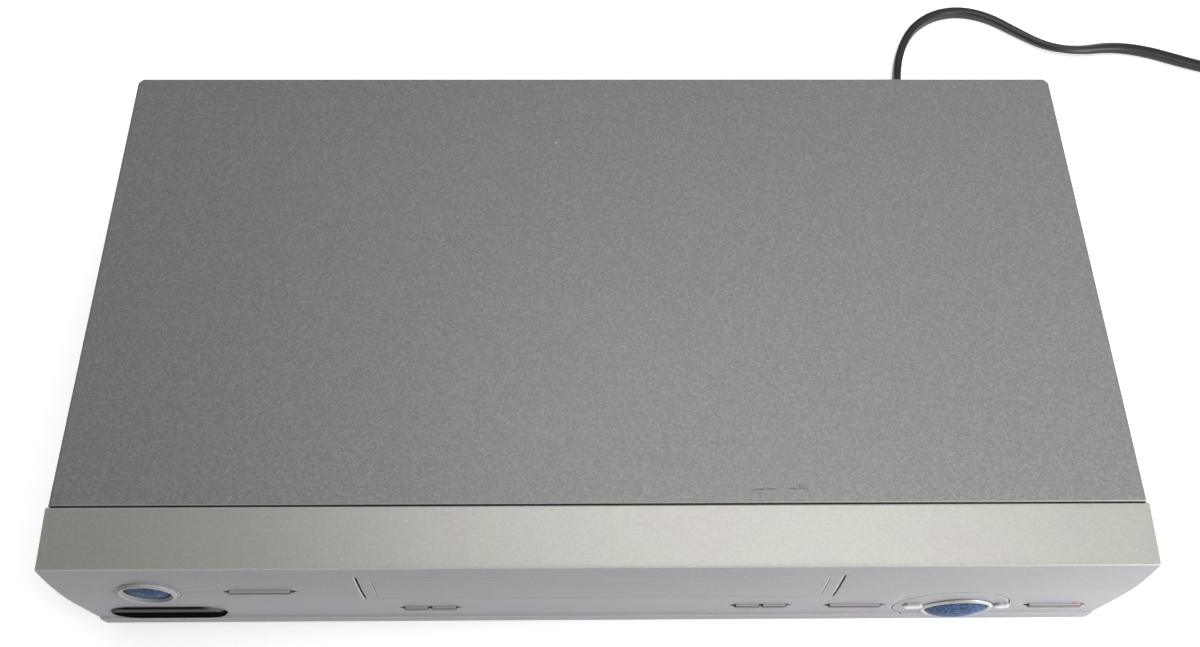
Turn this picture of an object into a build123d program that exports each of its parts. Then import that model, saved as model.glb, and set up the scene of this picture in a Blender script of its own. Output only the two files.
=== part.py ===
from build123d import *
import math
import os

os.makedirs("parts", exist_ok=True)

# Slim video cassette recorder: silver fascia, wrap-round steel cover, tape deck and mains cord.
# Frame: origin under the middle of the body on the table, +Z up, front facing -Y.

# Overall size
WIDTH = 432.0
TOP_Z = 94.0
FOOT_H = 8.0
SEAM_Y = -97.0
COVER_DEPTH = 213.0
REAR_Y = SEAM_Y + COVER_DEPTH
SHEET = 1.0

# Fascia section: sloping top band, crowned upper face, fold, undercut lower face and lip
WALL = 2.5
EDGE_Z = TOP_Z - 2.3
CROWN_Y = SEAM_Y - 25.6
CROWN_Z = 70.0
CROWN_R = 260.0
FOLD_Z = 49.5
LIP_Z = 18.5
LIP_BACK = 2.8
FOLD_END_X = 124.0

# Cassette and its way through the machine
CASSETTE_W = 187.0
CASSETTE_H = 25.0
LOADED_FRONT_Y = 28.0
LOADED_Z = 34.7
CARRIAGE_DROP = 20.0
CARRIAGE_TRAVEL = 64.0
DOOR_HALF = 95.0
DOOR_LOW_Z = 54.9
DOOR_HIGH_Z = 82.4
DOOR_THICK = 2.2
HINGE_Y = -116.8
HINGE_Z = 87.0
HINGE_PIN_R = 1.5

# Buttons: the bars are x from, x to and height of the middle
BAR_H = 3.0
BAR_PROUD = 1.2
SLOT_H = 3.8
SLOT_TIP = 2.8
BUTTON_TRAVEL = 1.0
BARS = {
    "eject_button": (-148.6, -123.2, 66.3),
    "tracking_down_button": (-82.2, -71.45, 36.5),
    "tracking_up_button": (-70.95, -59.7, 36.5),
    "channel_down_button": (56.8, 67.75, 37.5),
    "channel_up_button": (68.25, 79.0, 37.5),
    "stop_button": (96.5, 118.9, 37.0),
    "record_button": (181.5, 204.8, 35.5),
}
SIDE_KEYS = {"rewind_button": (128.7, 136.6, 37.0), "forward_button": (167.4, 173.4, 37.0)}
SIDE_KEY_H = 4.4
POWER_X = -180.8
POWER_Z = 66.0
POWER_R = 8.8
POWER_RING_R = 11.6
PLAY_X = 152.5
PLAY_Z = 31.5
PLAY_R = 12.5
PLAY_RING_R = 15.2
CLUSTER_X = 149.0
CLUSTER_Z = 35.0
CLUSTER_R = 24.2
LENS_X = -182.5
LENS_Z = 30.0
LENS_W = 48.4
LENS_H = 20.0
BOARD_Y = -102.0

# Tape deck
DECK_Z = 26.5
DECK_T = 1.5
DECK_TOP = DECK_Z + DECK_T
DECK_HALF = 104.0
DRUM_Y = 72.0
DRUM_R = 31.0
DRUM_TILT = 5.97
REEL_SPACING = 92.0
REEL_Y = LOADED_FRONT_Y - 62.0
CAPSTAN_X = 72.0
CAPSTAN_Y = 58.0
CLUTCH_Y = -8.0
GUIDE_START = (36.0, 18.0)
GUIDE_END = (45.0, 84.0)
PINCH_PIVOT = (92.0, 62.0)
PINCH_PLATE_Z = 35.0
WORM_WHEEL_X = -64.0
WORM_WHEEL_Y = 84.0
MOTOR_Y = 98.0
MOTOR_Z = 40.0

# Mains cord: octagonal tube of the cord's mean thickness, its lay on the table and its coil
CORD_D = 5.4
CORD_EXIT = (168.0, 138.5, 20.0)
CORD_LIE_Z = 3.0
COIL_X = 424.0
COIL_Y = 140.0
COIL_R = 54.0
COIL_PITCH = 6.0
COIL_LAYER = 5.9
COIL_TURNS = 2
TAIL_R = 30.0


def face_y(z):
    """Y of the fascia's outer face at a height."""
    if z >= FOLD_Z:
        return CROWN_Y + CROWN_R - math.sqrt(CROWN_R**2 - (z - CROWN_Z) ** 2)
    return face_y(FOLD_Z) + LIP_BACK * (FOLD_Z - z) / (FOLD_Z - LIP_Z)


def face_plane(x, z):
    """A plane on the fascia's face, its normal pointing out of the face."""
    lean = math.atan2(LIP_BACK, FOLD_Z - LIP_Z) if z < FOLD_Z else 0.0
    return Plane(
        origin=(x, face_y(z), z),
        x_dir=(1, 0, 0),
        z_dir=(0, -math.cos(lean), -math.sin(lean)),
    )


def front_plane(x, y, z):
    """An upright plane facing forward, local X to the right and local Y up."""
    return Plane(origin=(x, y, z), x_dir=(1, 0, 0), z_dir=(0, -1, 0))


def level_plane(x, y, z):
    """A level plane at a point."""
    return Plane(origin=(x, y, z), x_dir=(1, 0, 0), z_dir=(0, 0, 1))


def tooth_points(teeth, module, grip=0.12):
    """The corner points of a gear rim with straight flanks and a given number of teeth."""
    tip = module * (teeth / 2 + 0.8)
    root = module * (teeth / 2 - 1.0)
    step = 2 * math.pi / teeth
    points = []
    for n in range(teeth):
        for radius, turn in ((root, -0.5), (tip, -grip), (tip, grip)):
            angle = (n + turn) * step
            points.append((radius * math.cos(angle), radius * math.sin(angle)))
    return points


# Front fascia: one moulding with the door opening, the button slots, the power ring and the bay collar
slot_ends = (
    ("eject_button", "eject_button"),
    ("tracking_down_button", "tracking_up_button"),
    ("channel_down_button", "channel_up_button"),
    ("stop_button", "stop_button"),
    ("record_button", "record_button"),
)
SLOTS = [(BARS[first][0], BARS[last][1], BARS[last][2]) for first, last in slot_ends]
BAY_HALF = 97.2
BAY_CHEEK = 2.2
BAY_FLOOR_Z = 54.2
with BuildPart() as fascia:
    with BuildSketch(Plane.YZ):
        with BuildLine():
            edge = (face_y(EDGE_Z), EDGE_Z)
            fold = (face_y(FOLD_Z), FOLD_Z)
            lip = (face_y(LIP_Z), LIP_Z)
            Line((SEAM_Y, TOP_Z), edge)
            ThreePointArc(edge, (CROWN_Y, CROWN_Z), fold)
            Polyline(
                fold,
                lip,
                (lip[0] - 0.6, LIP_Z - 0.5),
                (lip[0] + 0.1, FOOT_H + 1.5),
                (lip[0] + 1.6, FOOT_H),
                (SEAM_Y, FOOT_H),
                (SEAM_Y, TOP_Z),
            )
        make_face()
    extrude(amount=WIDTH / 2, both=True)
    # Hollow back
    with BuildSketch(Plane.YZ):
        with BuildLine():
            top = (face_y(EDGE_Z) + WALL, EDGE_Z - WALL)
            mid = (CROWN_Y + WALL, CROWN_Z)
            low = (face_y(FOLD_Z) + WALL, FOLD_Z)
            Line((SEAM_Y + 1, TOP_Z - WALL), top)
            ThreePointArc(top, mid, low)
            Polyline(
                low,
                (face_y(LIP_Z) + WALL, FOOT_H + WALL),
                (SEAM_Y + 1, FOOT_H + WALL),
                (SEAM_Y + 1, TOP_Z - WALL),
            )
        make_face()
    extrude(amount=WIDTH / 2 - WALL, both=True, mode=Mode.SUBTRACT)
    # Past the play cluster the fold dies out into a smooth curve
    with BuildSketch(Plane.YZ.offset(FOLD_END_X)):
        with BuildLine():
            Polyline((face_y(60), 60), (CROWN_Y - 1, 60), (CROWN_Y - 1, 38), (face_y(38), 38))
            ThreePointArc((face_y(38), 38), (face_y(FOLD_Z) + 0.22, FOLD_Z - 0.3), (face_y(60), 60))
        make_face()
    extrude(amount=WIDTH / 2 - FOLD_END_X + 1, mode=Mode.SUBTRACT)
    # Tongues that slip inside the steel cover
    with BuildSketch(Plane.YZ):
        with Locations((SEAM_Y + 1.75, TOP_Z - 2.6)):
            Rectangle(8.5, 1.8)
    extrude(amount=WIDTH / 2 - 6, both=True)
    with BuildSketch(Plane.XY.offset(14)):
        with Locations((WIDTH / 2 - 2.9, SEAM_Y + 1.75), (2.9 - WIDTH / 2, SEAM_Y + 1.75)):
            Rectangle(1.6, 8.5)
    extrude(amount=72)
    # Collar round the bay: two cheeks and a shelf that the cassette slides over
    bay_front = -face_y(CROWN_Z) - WALL + 0.6
    for side in (-1, 1):
        with BuildSketch(Plane.XZ.offset(-SEAM_Y + 2)):
            with Locations((side * (BAY_HALF + BAY_CHEEK / 2), 52)):
                Rectangle(BAY_CHEEK, 39.4, align=(Align.CENTER, Align.MIN))
        extrude(amount=bay_front + SEAM_Y - 2)
    with BuildSketch(Plane.XZ.offset(-SEAM_Y + 2)):
        with Locations((0, BAY_FLOOR_Z)):
            Rectangle(2 * BAY_HALF + 2 * BAY_CHEEK, 2.2, align=(Align.CENTER, Align.MAX))
    extrude(amount=bay_front + SEAM_Y - 2)
    # Door opening and the bores for its hinge pins
    with BuildSketch(Plane.XZ.offset(115)):
        with Locations((0, 54.4)):
            Rectangle(2 * DOOR_HALF + 2.2, 28.4, align=(Align.CENTER, Align.MIN))
    extrude(amount=12, mode=Mode.SUBTRACT)
    with BuildSketch(Plane.YZ):
        with Locations((HINGE_Y, HINGE_Z)):
            Circle(HINGE_PIN_R + 0.1)
    extrude(amount=BAY_HALF + BAY_CHEEK + 1, both=True, mode=Mode.SUBTRACT)
    # Slots with pointed ends for the bar buttons
    with BuildSketch(Plane.XZ.offset(112)):
        for x_from, x_to, z in SLOTS:
            with BuildLine():
                Polyline(
                    (x_from - SLOT_TIP, z),
                    (x_from, z + SLOT_H / 2),
                    (x_to, z + SLOT_H / 2),
                    (x_to + SLOT_TIP, z),
                    (x_to, z - SLOT_H / 2),
                    (x_from, z - SLOT_H / 2),
                    close=True,
                )
            make_face()
        for x_from, x_to, z in SIDE_KEYS.values():
            with Locations(((x_from + x_to) / 2, z)):
                SlotOverall(x_to - x_from + 0.8, SIDE_KEY_H + 0.8)
        with Locations((LENS_X, LENS_Z)):
            SlotOverall(LENS_W - 3, LENS_H - 3)
    extrude(amount=14, mode=Mode.SUBTRACT)
    # Seat of the display lens
    with BuildSketch(face_plane(LENS_X, LENS_Z).offset(-1.4)):
        SlotOverall(LENS_W + 0.4, LENS_H + 0.4)
    extrude(amount=5, mode=Mode.SUBTRACT)
    # Raised ring of the power button
    with BuildSketch(front_plane(POWER_X, face_y(POWER_Z) + 1, POWER_Z)):
        Circle(POWER_RING_R)
    extrude(amount=2.4)
    ring_edge = fascia.edges().filter_by(GeomType.CIRCLE).sort_by(Axis.Y)[0]
    chamfer(ring_edge, length=0.8)
    with BuildSketch(front_plane(POWER_X, -112, POWER_Z)):
        Circle(POWER_R + 0.5)
    extrude(amount=14, mode=Mode.SUBTRACT)
    with BuildSketch(front_plane(POWER_X, face_y(POWER_Z) - 0.1, POWER_Z)):
        Circle(POWER_R + 0.5)
        Circle(POWER_R - 2, mode=Mode.SUBTRACT)
    extrude(amount=2, taper=-38, mode=Mode.SUBTRACT)
    # Bore behind the play ring and the circular groove round the play cluster
    with BuildSketch(face_plane(PLAY_X, PLAY_Z).offset(-6)):
        Circle(PLAY_R + 1.3)
    extrude(amount=12, mode=Mode.SUBTRACT)
    with BuildSketch(face_plane(PLAY_X, PLAY_Z).offset(-1.0)):
        Circle(PLAY_RING_R + 0.2)
    extrude(amount=6, mode=Mode.SUBTRACT)
    with BuildSketch(face_plane(CLUSTER_X, CLUSTER_Z).offset(-0.6)):
        Circle(CLUSTER_R + 0.3)
        Circle(CLUSTER_R - 0.3, mode=Mode.SUBTRACT)
        with Locations((CLUSTER_R, -CLUSTER_R + 4)):
            Rectangle(2 * CLUSTER_R, 2 * CLUSTER_R, mode=Mode.SUBTRACT)
    extrude(amount=3, mode=Mode.SUBTRACT)
    # Fine engraved lines from the power ring to the eject bar and from the stop bar to the cluster
    with BuildSketch(front_plane(0, face_y(POWER_Z) + 0.4, POWER_Z)):
        with Locations((-159.5, 0.3)):
            Rectangle(17, 0.45)
        with Locations((POWER_X, 0)):
            Circle(POWER_RING_R + 1.7)
            Circle(POWER_RING_R + 1.25, mode=Mode.SUBTRACT)
            with Locations((-4, 0)):
                Rectangle(2 * POWER_RING_R + 1, 3 * POWER_RING_R, mode=Mode.SUBTRACT)
    extrude(amount=1.5, mode=Mode.SUBTRACT)
    # Broken edge along the seam with the cover
    seam_edge = fascia.edges().filter_by(Axis.X).filter_by_position(Axis.Y, SEAM_Y - 0.01, SEAM_Y + 0.01)
    chamfer(seam_edge.sort_by(Axis.Z)[-1], length=0.5)
fascia.part.label = "front_fascia"
export_step(fascia.part, "parts/front_fascia.step")


# Cassette door: bowed like the face, two fine lines near its ends, arms and pins at the top
DOOR_ARM_X = 91.0
DOOR_ARM_W = 3.0
with BuildPart() as door:
    with BuildSketch(Plane.YZ):
        with BuildLine():
            out_top = (face_y(DOOR_HIGH_Z), DOOR_HIGH_Z)
            out_mid = (face_y(CROWN_Z), CROWN_Z)
            out_low = (face_y(DOOR_LOW_Z), DOOR_LOW_Z)
            in_top = (out_top[0] + DOOR_THICK, DOOR_HIGH_Z)
            in_mid = (out_mid[0] + DOOR_THICK, CROWN_Z)
            in_low = (out_low[0] + DOOR_THICK, DOOR_LOW_Z)
            ThreePointArc(out_top, out_mid, out_low)
            Line(out_low, in_low)
            ThreePointArc(in_low, in_mid, in_top)
            Line(in_top, out_top)
        make_face()
    extrude(amount=DOOR_HALF, both=True)
    with BuildSketch(front_plane(0, CROWN_Y + 0.35, CROWN_Z - 1)):
        with Locations((-90, 0), (90, 0)):
            Rectangle(0.45, 19.5)
    extrude(amount=2, mode=Mode.SUBTRACT)
    for side in (-1, 1):
        with BuildSketch(Plane.YZ.offset(side * (DOOR_ARM_X + DOOR_ARM_W / 2) - DOOR_ARM_W / 2)):
            with BuildLine():
                Polyline(
                    (in_top[0] - 0.6, 74),
                    (in_top[0] - 0.6, DOOR_HIGH_Z - 1.2),
                    (in_top[0] + 0.9, DOOR_HIGH_Z - 0.2),
                    (HINGE_Y - 2.1, HINGE_Z),
                    (HINGE_Y + 2.2, HINGE_Z),
                    (HINGE_Y + 1.2, 80),
                    close=True,
                )
            make_face()
            with Locations((HINGE_Y, HINGE_Z)):
                Circle(2.2)
        extrude(amount=DOOR_ARM_W)
        with BuildSketch(Plane.YZ.offset(side * (DOOR_ARM_X + DOOR_ARM_W - 0.5))):
            with Locations((HINGE_Y, HINGE_Z)):
                Circle(HINGE_PIN_R)
        extrude(amount=side * (BAY_HALF + BAY_CHEEK - DOOR_ARM_X - DOOR_ARM_W + 0.3))
door.part.label = "cassette_door"
export_step(door.part, "parts/cassette_door.step")

# Torsion spring on the left pin that holds the door shut
SPRING_WIRE = 0.7
SPRING_R = 2.1
with BuildPart() as door_spring:
    with BuildLine() as coil_line:
        Helix(
            pitch=1.2,
            height=2.4,
            radius=SPRING_R,
            center=(-96.9, HINGE_Y, HINGE_Z),
            direction=(1, 0, 0),
        )
    with BuildSketch(Plane(origin=coil_line.line @ 0, z_dir=coil_line.line % 0)):
        RegularPolygon(SPRING_WIRE / 2, 4)
    sweep(is_frenet=True)
door_spring.part.label = "door_spring"
export_step(door_spring.part, "parts/door_spring.step")

# Display lens: smoked window with a softly domed front
with BuildPart() as lens:
    with BuildSketch(face_plane(LENS_X, LENS_Z).offset(-1.3)):
        SlotOverall(LENS_W, LENS_H)
    extrude(amount=2.2)
    lens_rim = lens.faces().sort_by(Axis.Y)[0].edges()
    chamfer(lens_rim, length=0.6)
    with BuildSketch(face_plane(LENS_X, LENS_Z).offset(-4.0)):
        SlotOverall(LENS_W - 3.6, LENS_H - 3.6)
    extrude(amount=2.8)
lens.part.label = "display_lens"
export_step(lens.part, "parts/display_lens.step")


def bar_key(x_from, x_to, z, height, proud):
    """A bar button: cap with cut corners through the slot, collar behind the fascia and stem."""
    middle = (x_from + x_to) / 2
    width = x_to - x_from
    front = face_y(z) - proud
    back = face_y(z) + WALL + 0.6
    with BuildPart() as key:
        with BuildSketch(front_plane(middle, back + 0.6, z)) as cap:
            Rectangle(width, height)
            chamfer(cap.vertices(), length=height * 0.3)
        extrude(amount=back + 0.6 - front)
        chamfer(key.faces().sort_by(Axis.Y)[0].edges(), length=0.5)
        with BuildSketch(front_plane(middle, back + 1.4, z)):
            Rectangle(width - 0.2, height + 3)
        extrude(amount=1.4)
        with BuildSketch(front_plane(middle, STEM_Y, z)):
            Rectangle(4, 3)
        extrude(amount=STEM_Y - back - 1)
    return key


STEM_Y = BOARD_Y - 3.5 - BUTTON_TRAVEL - 0.6
for name, (x_from, x_to, z) in BARS.items():
    bar = bar_key(x_from, x_to, z, BAR_H, BAR_PROUD)
    bar.part.label = name
    export_step(bar.part, f"parts/{name}.step")
for name, (x_from, x_to, z) in SIDE_KEYS.items():
    key = bar_key(x_from, x_to, z, SIDE_KEY_H, BAR_PROUD + 0.3)
    key.part.label = name
    export_step(key.part, f"parts/{name}.step")


def dome_profile(radius, front, rise, back, collar, stem_end):
    """Half section of a round button in local X (radius) and Y (towards the back)."""
    sphere = (radius**2 + rise**2) / (2 * rise)
    half = radius * 0.6
    shoulder = front + sphere - math.sqrt(sphere**2 - half**2)
    Polyline((0, stem_end), (2.5, stem_end), (2.5, back + 1.4), (collar, back + 1.4), (collar, back))
    Polyline((collar, back), (radius, back), (radius, front + rise))
    ThreePointArc((radius, front + rise), (half, shoulder), (0, front))
    Line((0, front), (0, stem_end))


# Power button: domed, standing inside the raised ring
power_plane = Plane(origin=(POWER_X, 0, POWER_Z), x_dir=(1, 0, 0), z_dir=(0, 0, 1))
with BuildPart() as power:
    with BuildSketch(power_plane):
        with BuildLine():
            dome_profile(
                POWER_R,
                face_y(POWER_Z) - 1.3,
                1.5,
                face_y(POWER_Z) + WALL + 0.5,
                POWER_R + 2,
                STEM_Y,
            )
        make_face()
    revolve(axis=Axis((POWER_X, 0, POWER_Z), (0, 1, 0)))
power.part.label = "power_button"
export_step(power.part, "parts/power_button.step")

# Play button and the bright ring that frames it
play_plane = Plane(origin=(PLAY_X, 0, PLAY_Z), x_dir=(1, 0, 0), z_dir=(0, 0, 1))
with BuildPart() as play:
    with BuildSketch(play_plane):
        with BuildLine():
            dome_profile(
                PLAY_R,
                face_y(PLAY_Z) - 3.2,
                2.4,
                face_y(PLAY_Z) + WALL + 1.7,
                PLAY_R + 2,
                STEM_Y,
            )
        make_face()
    revolve(axis=Axis((PLAY_X, 0, PLAY_Z), (0, 1, 0)))
play.part.label = "play_button"
export_step(play.part, "parts/play_button.step")

with BuildPart() as play_ring:
    with BuildSketch(face_plane(PLAY_X, PLAY_Z).offset(-2.2)):
        Circle(PLAY_R + 1.3)
        Circle(PLAY_R + 0.6, mode=Mode.SUBTRACT)
    extrude(amount=2)
    with BuildSketch(face_plane(PLAY_X, PLAY_Z).offset(-1.0)):
        Circle(PLAY_RING_R)
        Circle(PLAY_R + 0.6, mode=Mode.SUBTRACT)
    extrude(amount=2.2)
    chamfer(play_ring.faces().sort_by(Axis.Y)[0].edges(), length=0.8)
play_ring.part.label = "play_ring"
export_step(play_ring.part, "parts/play_ring.step")

# Front board: low in the middle, below the bay, and tall at both ends
BOARD_T = 1.6
with BuildPart() as front_board:
    with BuildSketch(Plane.XZ.offset(-BOARD_Y - BOARD_T)):
        with BuildLine():
            Polyline(
                (-208, 14),
                (208, 14),
                (208, 78),
                (106, 78),
                (106, 50),
                (-106, 50),
                (-106, 78),
                (-208, 78),
                close=True,
            )
        make_face()
    extrude(amount=BOARD_T)
front_board.part.label = "front_board"
export_step(front_board.part, "parts/front_board.step")

# Tact switches, one behind each button
key_spots = [((a + b) / 2, z) for a, b, z in BARS.values()]
key_spots += [((a + b) / 2, z) for a, b, z in SIDE_KEYS.values()]
key_spots += [(POWER_X, POWER_Z), (PLAY_X, PLAY_Z)]
with BuildPart() as switches:
    with BuildSketch(Plane.XZ.offset(-BOARD_Y)):
        with Locations(*key_spots):
            Rectangle(6, 6)
    extrude(amount=2.7)
    with BuildSketch(Plane.XZ.offset(-BOARD_Y + 2.7)):
        with Locations(*key_spots):
            Rectangle(3.2, 3.2)
    extrude(amount=0.8)
switches.part.label = "tact_switches"
export_step(switches.part, "parts/tact_switches.step")

# Vacuum fluorescent display tube behind the lens
with BuildPart() as display_tube:
    with BuildSketch(Plane.XZ.offset(-BOARD_Y)):
        with Locations((LENS_X, LENS_Z)):
            Rectangle(46, 17)
    extrude(amount=6.5)
    chamfer(display_tube.faces().sort_by(Axis.Y)[0].edges(), length=0.8)
    with BuildSketch(Plane.XZ.offset(-BOARD_Y)):
        with Locations((LENS_X + 24.5, LENS_Z)):
            Circle(2)
    extrude(amount=4)
display_tube.part.label = "display_tube"
export_step(display_tube.part, "parts/display_tube.step")

# Steel cover: folded from one sheet, hem and cut corners at the back, two rows of slots in each side
COVER_SIDE = WIDTH / 2 - 0.5
COVER_LOW_Z = 12.0
COVER_FRONT_Y = SEAM_Y + 0.6
HEM_SCREW_XS = (-150.0, 0.0, 150.0)
HEM_SCREW_Z = 89.0
with BuildPart() as cover:
    with BuildSketch(Plane.XZ.offset(-COVER_FRONT_Y)):
        with Locations((0, COVER_LOW_Z)):
            Rectangle(2 * COVER_SIDE, TOP_Z - COVER_LOW_Z, align=(Align.CENTER, Align.MIN))
    extrude(amount=-(REAR_Y - COVER_FRONT_Y))
    chamfer(cover.edges().filter_by(Axis.Z).group_by(Axis.Y)[-1], length=2.5)
    fillet(cover.edges().filter_by(Axis.Y).group_by(Axis.Z)[-1], radius=1.4)
    with BuildSketch(Plane.XZ.offset(-COVER_FRONT_Y + 1)):
        with Locations((0, COVER_LOW_Z - 1)):
            Rectangle(
                2 * (COVER_SIDE - SHEET),
                TOP_Z - SHEET - COVER_LOW_Z + 1,
                align=(Align.CENTER, Align.MIN),
            )
    extrude(amount=-(REAR_Y - COVER_FRONT_Y + 2), mode=Mode.SUBTRACT)
    with BuildSketch(Plane.XZ.offset(-REAR_Y)):
        with Locations((0, TOP_Z - SHEET)):
            Rectangle(2 * COVER_SIDE - 8, 7, align=(Align.CENTER, Align.MAX))
    extrude(amount=SHEET)
    with BuildSketch(Plane.YZ):
        with Locations((60, 60)):
            with GridLocations(9, 16, 7, 2):
                Rectangle(2.8, 13)
    extrude(amount=WIDTH, both=True, mode=Mode.SUBTRACT)
    with BuildSketch(Plane.XZ.offset(-REAR_Y - 1)):
        with Locations(*[(x, HEM_SCREW_Z) for x in HEM_SCREW_XS]):
            RegularPolygon(2, 8)
    extrude(amount=3, mode=Mode.SUBTRACT)
cover.part.label = "top_cover"
export_step(cover.part, "parts/top_cover.step")

# Chassis pan: pressed floor with side flanges, vents and six-sided posts for the board and the deck
FLANGE_X = COVER_SIDE - SHEET - 0.3
FLOOR_T = 1.2
FLOOR_TOP = FOOT_H + FLOOR_T
BOARD_Z = 12.0
PAN_FRONT_Y = SEAM_Y + 8
DECK_POSTS = ((-95.0, -78.0), (95.0, -78.0), (-95.0, 98.0), (95.0, 98.0))
BOARD_POSTS = ((-200.0, -50.0), (-200.0, 60.0), (200.0, -50.0), (200.0, 60.0))
FOOT_SPOTS = ((-180.0, -72.0), (180.0, -72.0), (-180.0, 90.0), (180.0, 90.0))
with BuildPart() as pan:
    with BuildSketch(Plane.XZ.offset(-PAN_FRONT_Y)):
        with BuildLine():
            Polyline(
                (-FLANGE_X, 30),
                (-FLANGE_X, FOOT_H),
                (FLANGE_X, FOOT_H),
                (FLANGE_X, 30),
                (FLANGE_X - SHEET, 30),
                (FLANGE_X - SHEET, FLOOR_TOP),
                (SHEET - FLANGE_X, FLOOR_TOP),
                (SHEET - FLANGE_X, 30),
                close=True,
            )
        make_face()
    extrude(amount=-(REAR_Y - 3 - PAN_FRONT_Y))
    # Floor carried forward under the front board, meeting the fascia's bottom wall
    with BuildSketch(Plane.XY.offset(FOOT_H)):
        with Locations((0, SEAM_Y + 0.3)):
            Rectangle(2 * FLANGE_X, 9, align=(Align.CENTER, Align.MIN))
    extrude(amount=FLOOR_T)
    with BuildSketch(Plane.XY.offset(FLOOR_TOP)):
        with Locations(*DECK_POSTS):
            RegularPolygon(4.2, 6)
    extrude(amount=DECK_Z - FLOOR_TOP)
    with BuildSketch(Plane.XY.offset(FLOOR_TOP)):
        with Locations(*BOARD_POSTS):
            RegularPolygon(4.2, 6)
    extrude(amount=BOARD_Z - FLOOR_TOP)
    # Vents under the power supply and under the deck
    with BuildSketch(Plane.XY.offset(FOOT_H)):
        with Locations((150, 20)):
            with GridLocations(10, 34, 7, 2):
                Rectangle(3.4, 28)
        with Locations((-150, 20)):
            with GridLocations(10, 34, 5, 2):
                Rectangle(3.4, 28)
        with Locations(*FOOT_SPOTS):
            RegularPolygon(3, 8)
    extrude(amount=FLOOR_T, mode=Mode.SUBTRACT)
    with BuildSketch(Plane.XY.offset(DECK_Z - 10)):
        with Locations(*DECK_POSTS):
            RegularPolygon(1.45, 8)
    extrude(amount=11, mode=Mode.SUBTRACT)
pan.part.label = "chassis_pan"
export_step(pan.part, "parts/chassis_pan.step")

# Rubber feet, pegged into the pan
with BuildPart() as feet:
    with BuildSketch(Plane.XY):
        with Locations(*FOOT_SPOTS):
            Circle(10)
    extrude(amount=FOOT_H, taper=-6)
    with BuildSketch(Plane.XY.offset(FOOT_H)):
        with Locations(*FOOT_SPOTS):
            RegularPolygon(2.95, 8)
    extrude(amount=FLOOR_T + 0.6)
feet.part.label = "rubber_feet"
export_step(feet.part, "parts/rubber_feet.step")

# Rear panel with openings for the antenna sockets, the phono sockets and the cord
PANEL_Y = REAR_Y - 3.0
PANEL_T = 2.0
PANEL_TOP = TOP_Z - SHEET - 0.4
ANTENNA_X = -186.0
ANTENNA_ZS = (34.0, 62.0)
PHONO_XS = (-152.0, -134.0, -116.0)
PHONO_ZS = (40.0, 60.0)
with BuildPart() as rear_panel:
    with BuildSketch(Plane.XZ.offset(-PANEL_Y)):
        with Locations((0, FOOT_H)):
            Rectangle(2 * (FLANGE_X - 0.2), PANEL_TOP - FOOT_H, align=(Align.CENTER, Align.MIN))
        with Locations(*[(ANTENNA_X, z) for z in ANTENNA_ZS]):
            Circle(5.2, mode=Mode.SUBTRACT)
        with Locations(((PHONO_XS[0] + PHONO_XS[-1]) / 2, 50)):
            Rectangle(56, 40, mode=Mode.SUBTRACT)
        with Locations((CORD_EXIT[0], CORD_EXIT[2])):
            Rectangle(14, 11, mode=Mode.SUBTRACT)
        with Locations((30, 60)):
            with GridLocations(10.5, 26, 10, 2):
                Rectangle(3, 22, mode=Mode.SUBTRACT)
        with Locations(*[(x, HEM_SCREW_Z) for x in HEM_SCREW_XS]):
            RegularPolygon(1.45, 8, mode=Mode.SUBTRACT)
    extrude(amount=-PANEL_T)
rear_panel.part.label = "rear_panel"
export_step(rear_panel.part, "parts/rear_panel.step")

# Tuner can with its two threaded antenna sockets
JACK_END_Y = 123.97
with BuildPart() as tuner:
    with BuildSketch(Plane.XY.offset(BOARD_Z + 1.6)):
        with Locations((ANTENNA_X, PANEL_Y - 0.2)):
            Rectangle(24, 56, align=(Align.CENTER, Align.MAX))
    extrude(amount=58)
    chamfer(tuner.edges().filter_by(Axis.Z), length=1)
    for z in ANTENNA_ZS:
        with BuildSketch(Plane.XZ.offset(-PANEL_Y + 0.2)):
            with Locations((ANTENNA_X, z)):
                Circle(4.7)
        extrude(amount=-(JACK_END_Y - PANEL_Y + 0.2))
        with BuildSketch(Plane.XZ.offset(-REAR_Y + 1)):
            with Locations((ANTENNA_X, z)):
                RegularPolygon(6.6, 6)
        extrude(amount=-1.6)
        with BuildSketch(Plane.XZ.offset(-JACK_END_Y)):
            with Locations((ANTENNA_X, z)):
                Circle(3.4)
        extrude(amount=6, mode=Mode.SUBTRACT)
tuner.part.label = "tuner_can"
export_step(tuner.part, "parts/tuner_can.step")

# Phono socket block: plastic body with six barrels
PHONO_END_Y = 122.4
PHONO_STEP = 1.0
with BuildPart() as phono_block:
    with BuildSketch(Plane.XZ.offset(-PANEL_Y + 12)):
        with Locations(((PHONO_XS[0] + PHONO_XS[-1]) / 2, 50)):
            Rectangle(55.4, 39.4)
    extrude(amount=-(12 + PANEL_T + PHONO_STEP))
phono_block.part.label = "phono_block"
export_step(phono_block.part, "parts/phono_block.step")

with BuildPart() as phono_barrels:
    with BuildSketch(Plane.XZ.offset(-PHONO_END_Y)):
        with Locations(*[(x, z) for x in PHONO_XS for z in PHONO_ZS]):
            Circle(4.15)
            RegularPolygon(1.8, 8, mode=Mode.SUBTRACT)
    extrude(amount=PHONO_END_Y - PANEL_Y - PANEL_T - PHONO_STEP)
phono_barrels.part.label = "phono_barrels"
export_step(phono_barrels.part, "parts/phono_barrels.step")

# Main board with clearance for the deck posts
with BuildPart() as main_board:
    with BuildSketch(Plane.XY.offset(BOARD_Z)):
        with Locations((0, 30)):
            Rectangle(416, 164)
        with Locations(*DECK_POSTS):
            Circle(5.5, mode=Mode.SUBTRACT)
    extrude(amount=1.6)
main_board.part.label = "main_board"
export_step(main_board.part, "parts/main_board.step")
BOARD_TOP = BOARD_Z + 1.6

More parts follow.
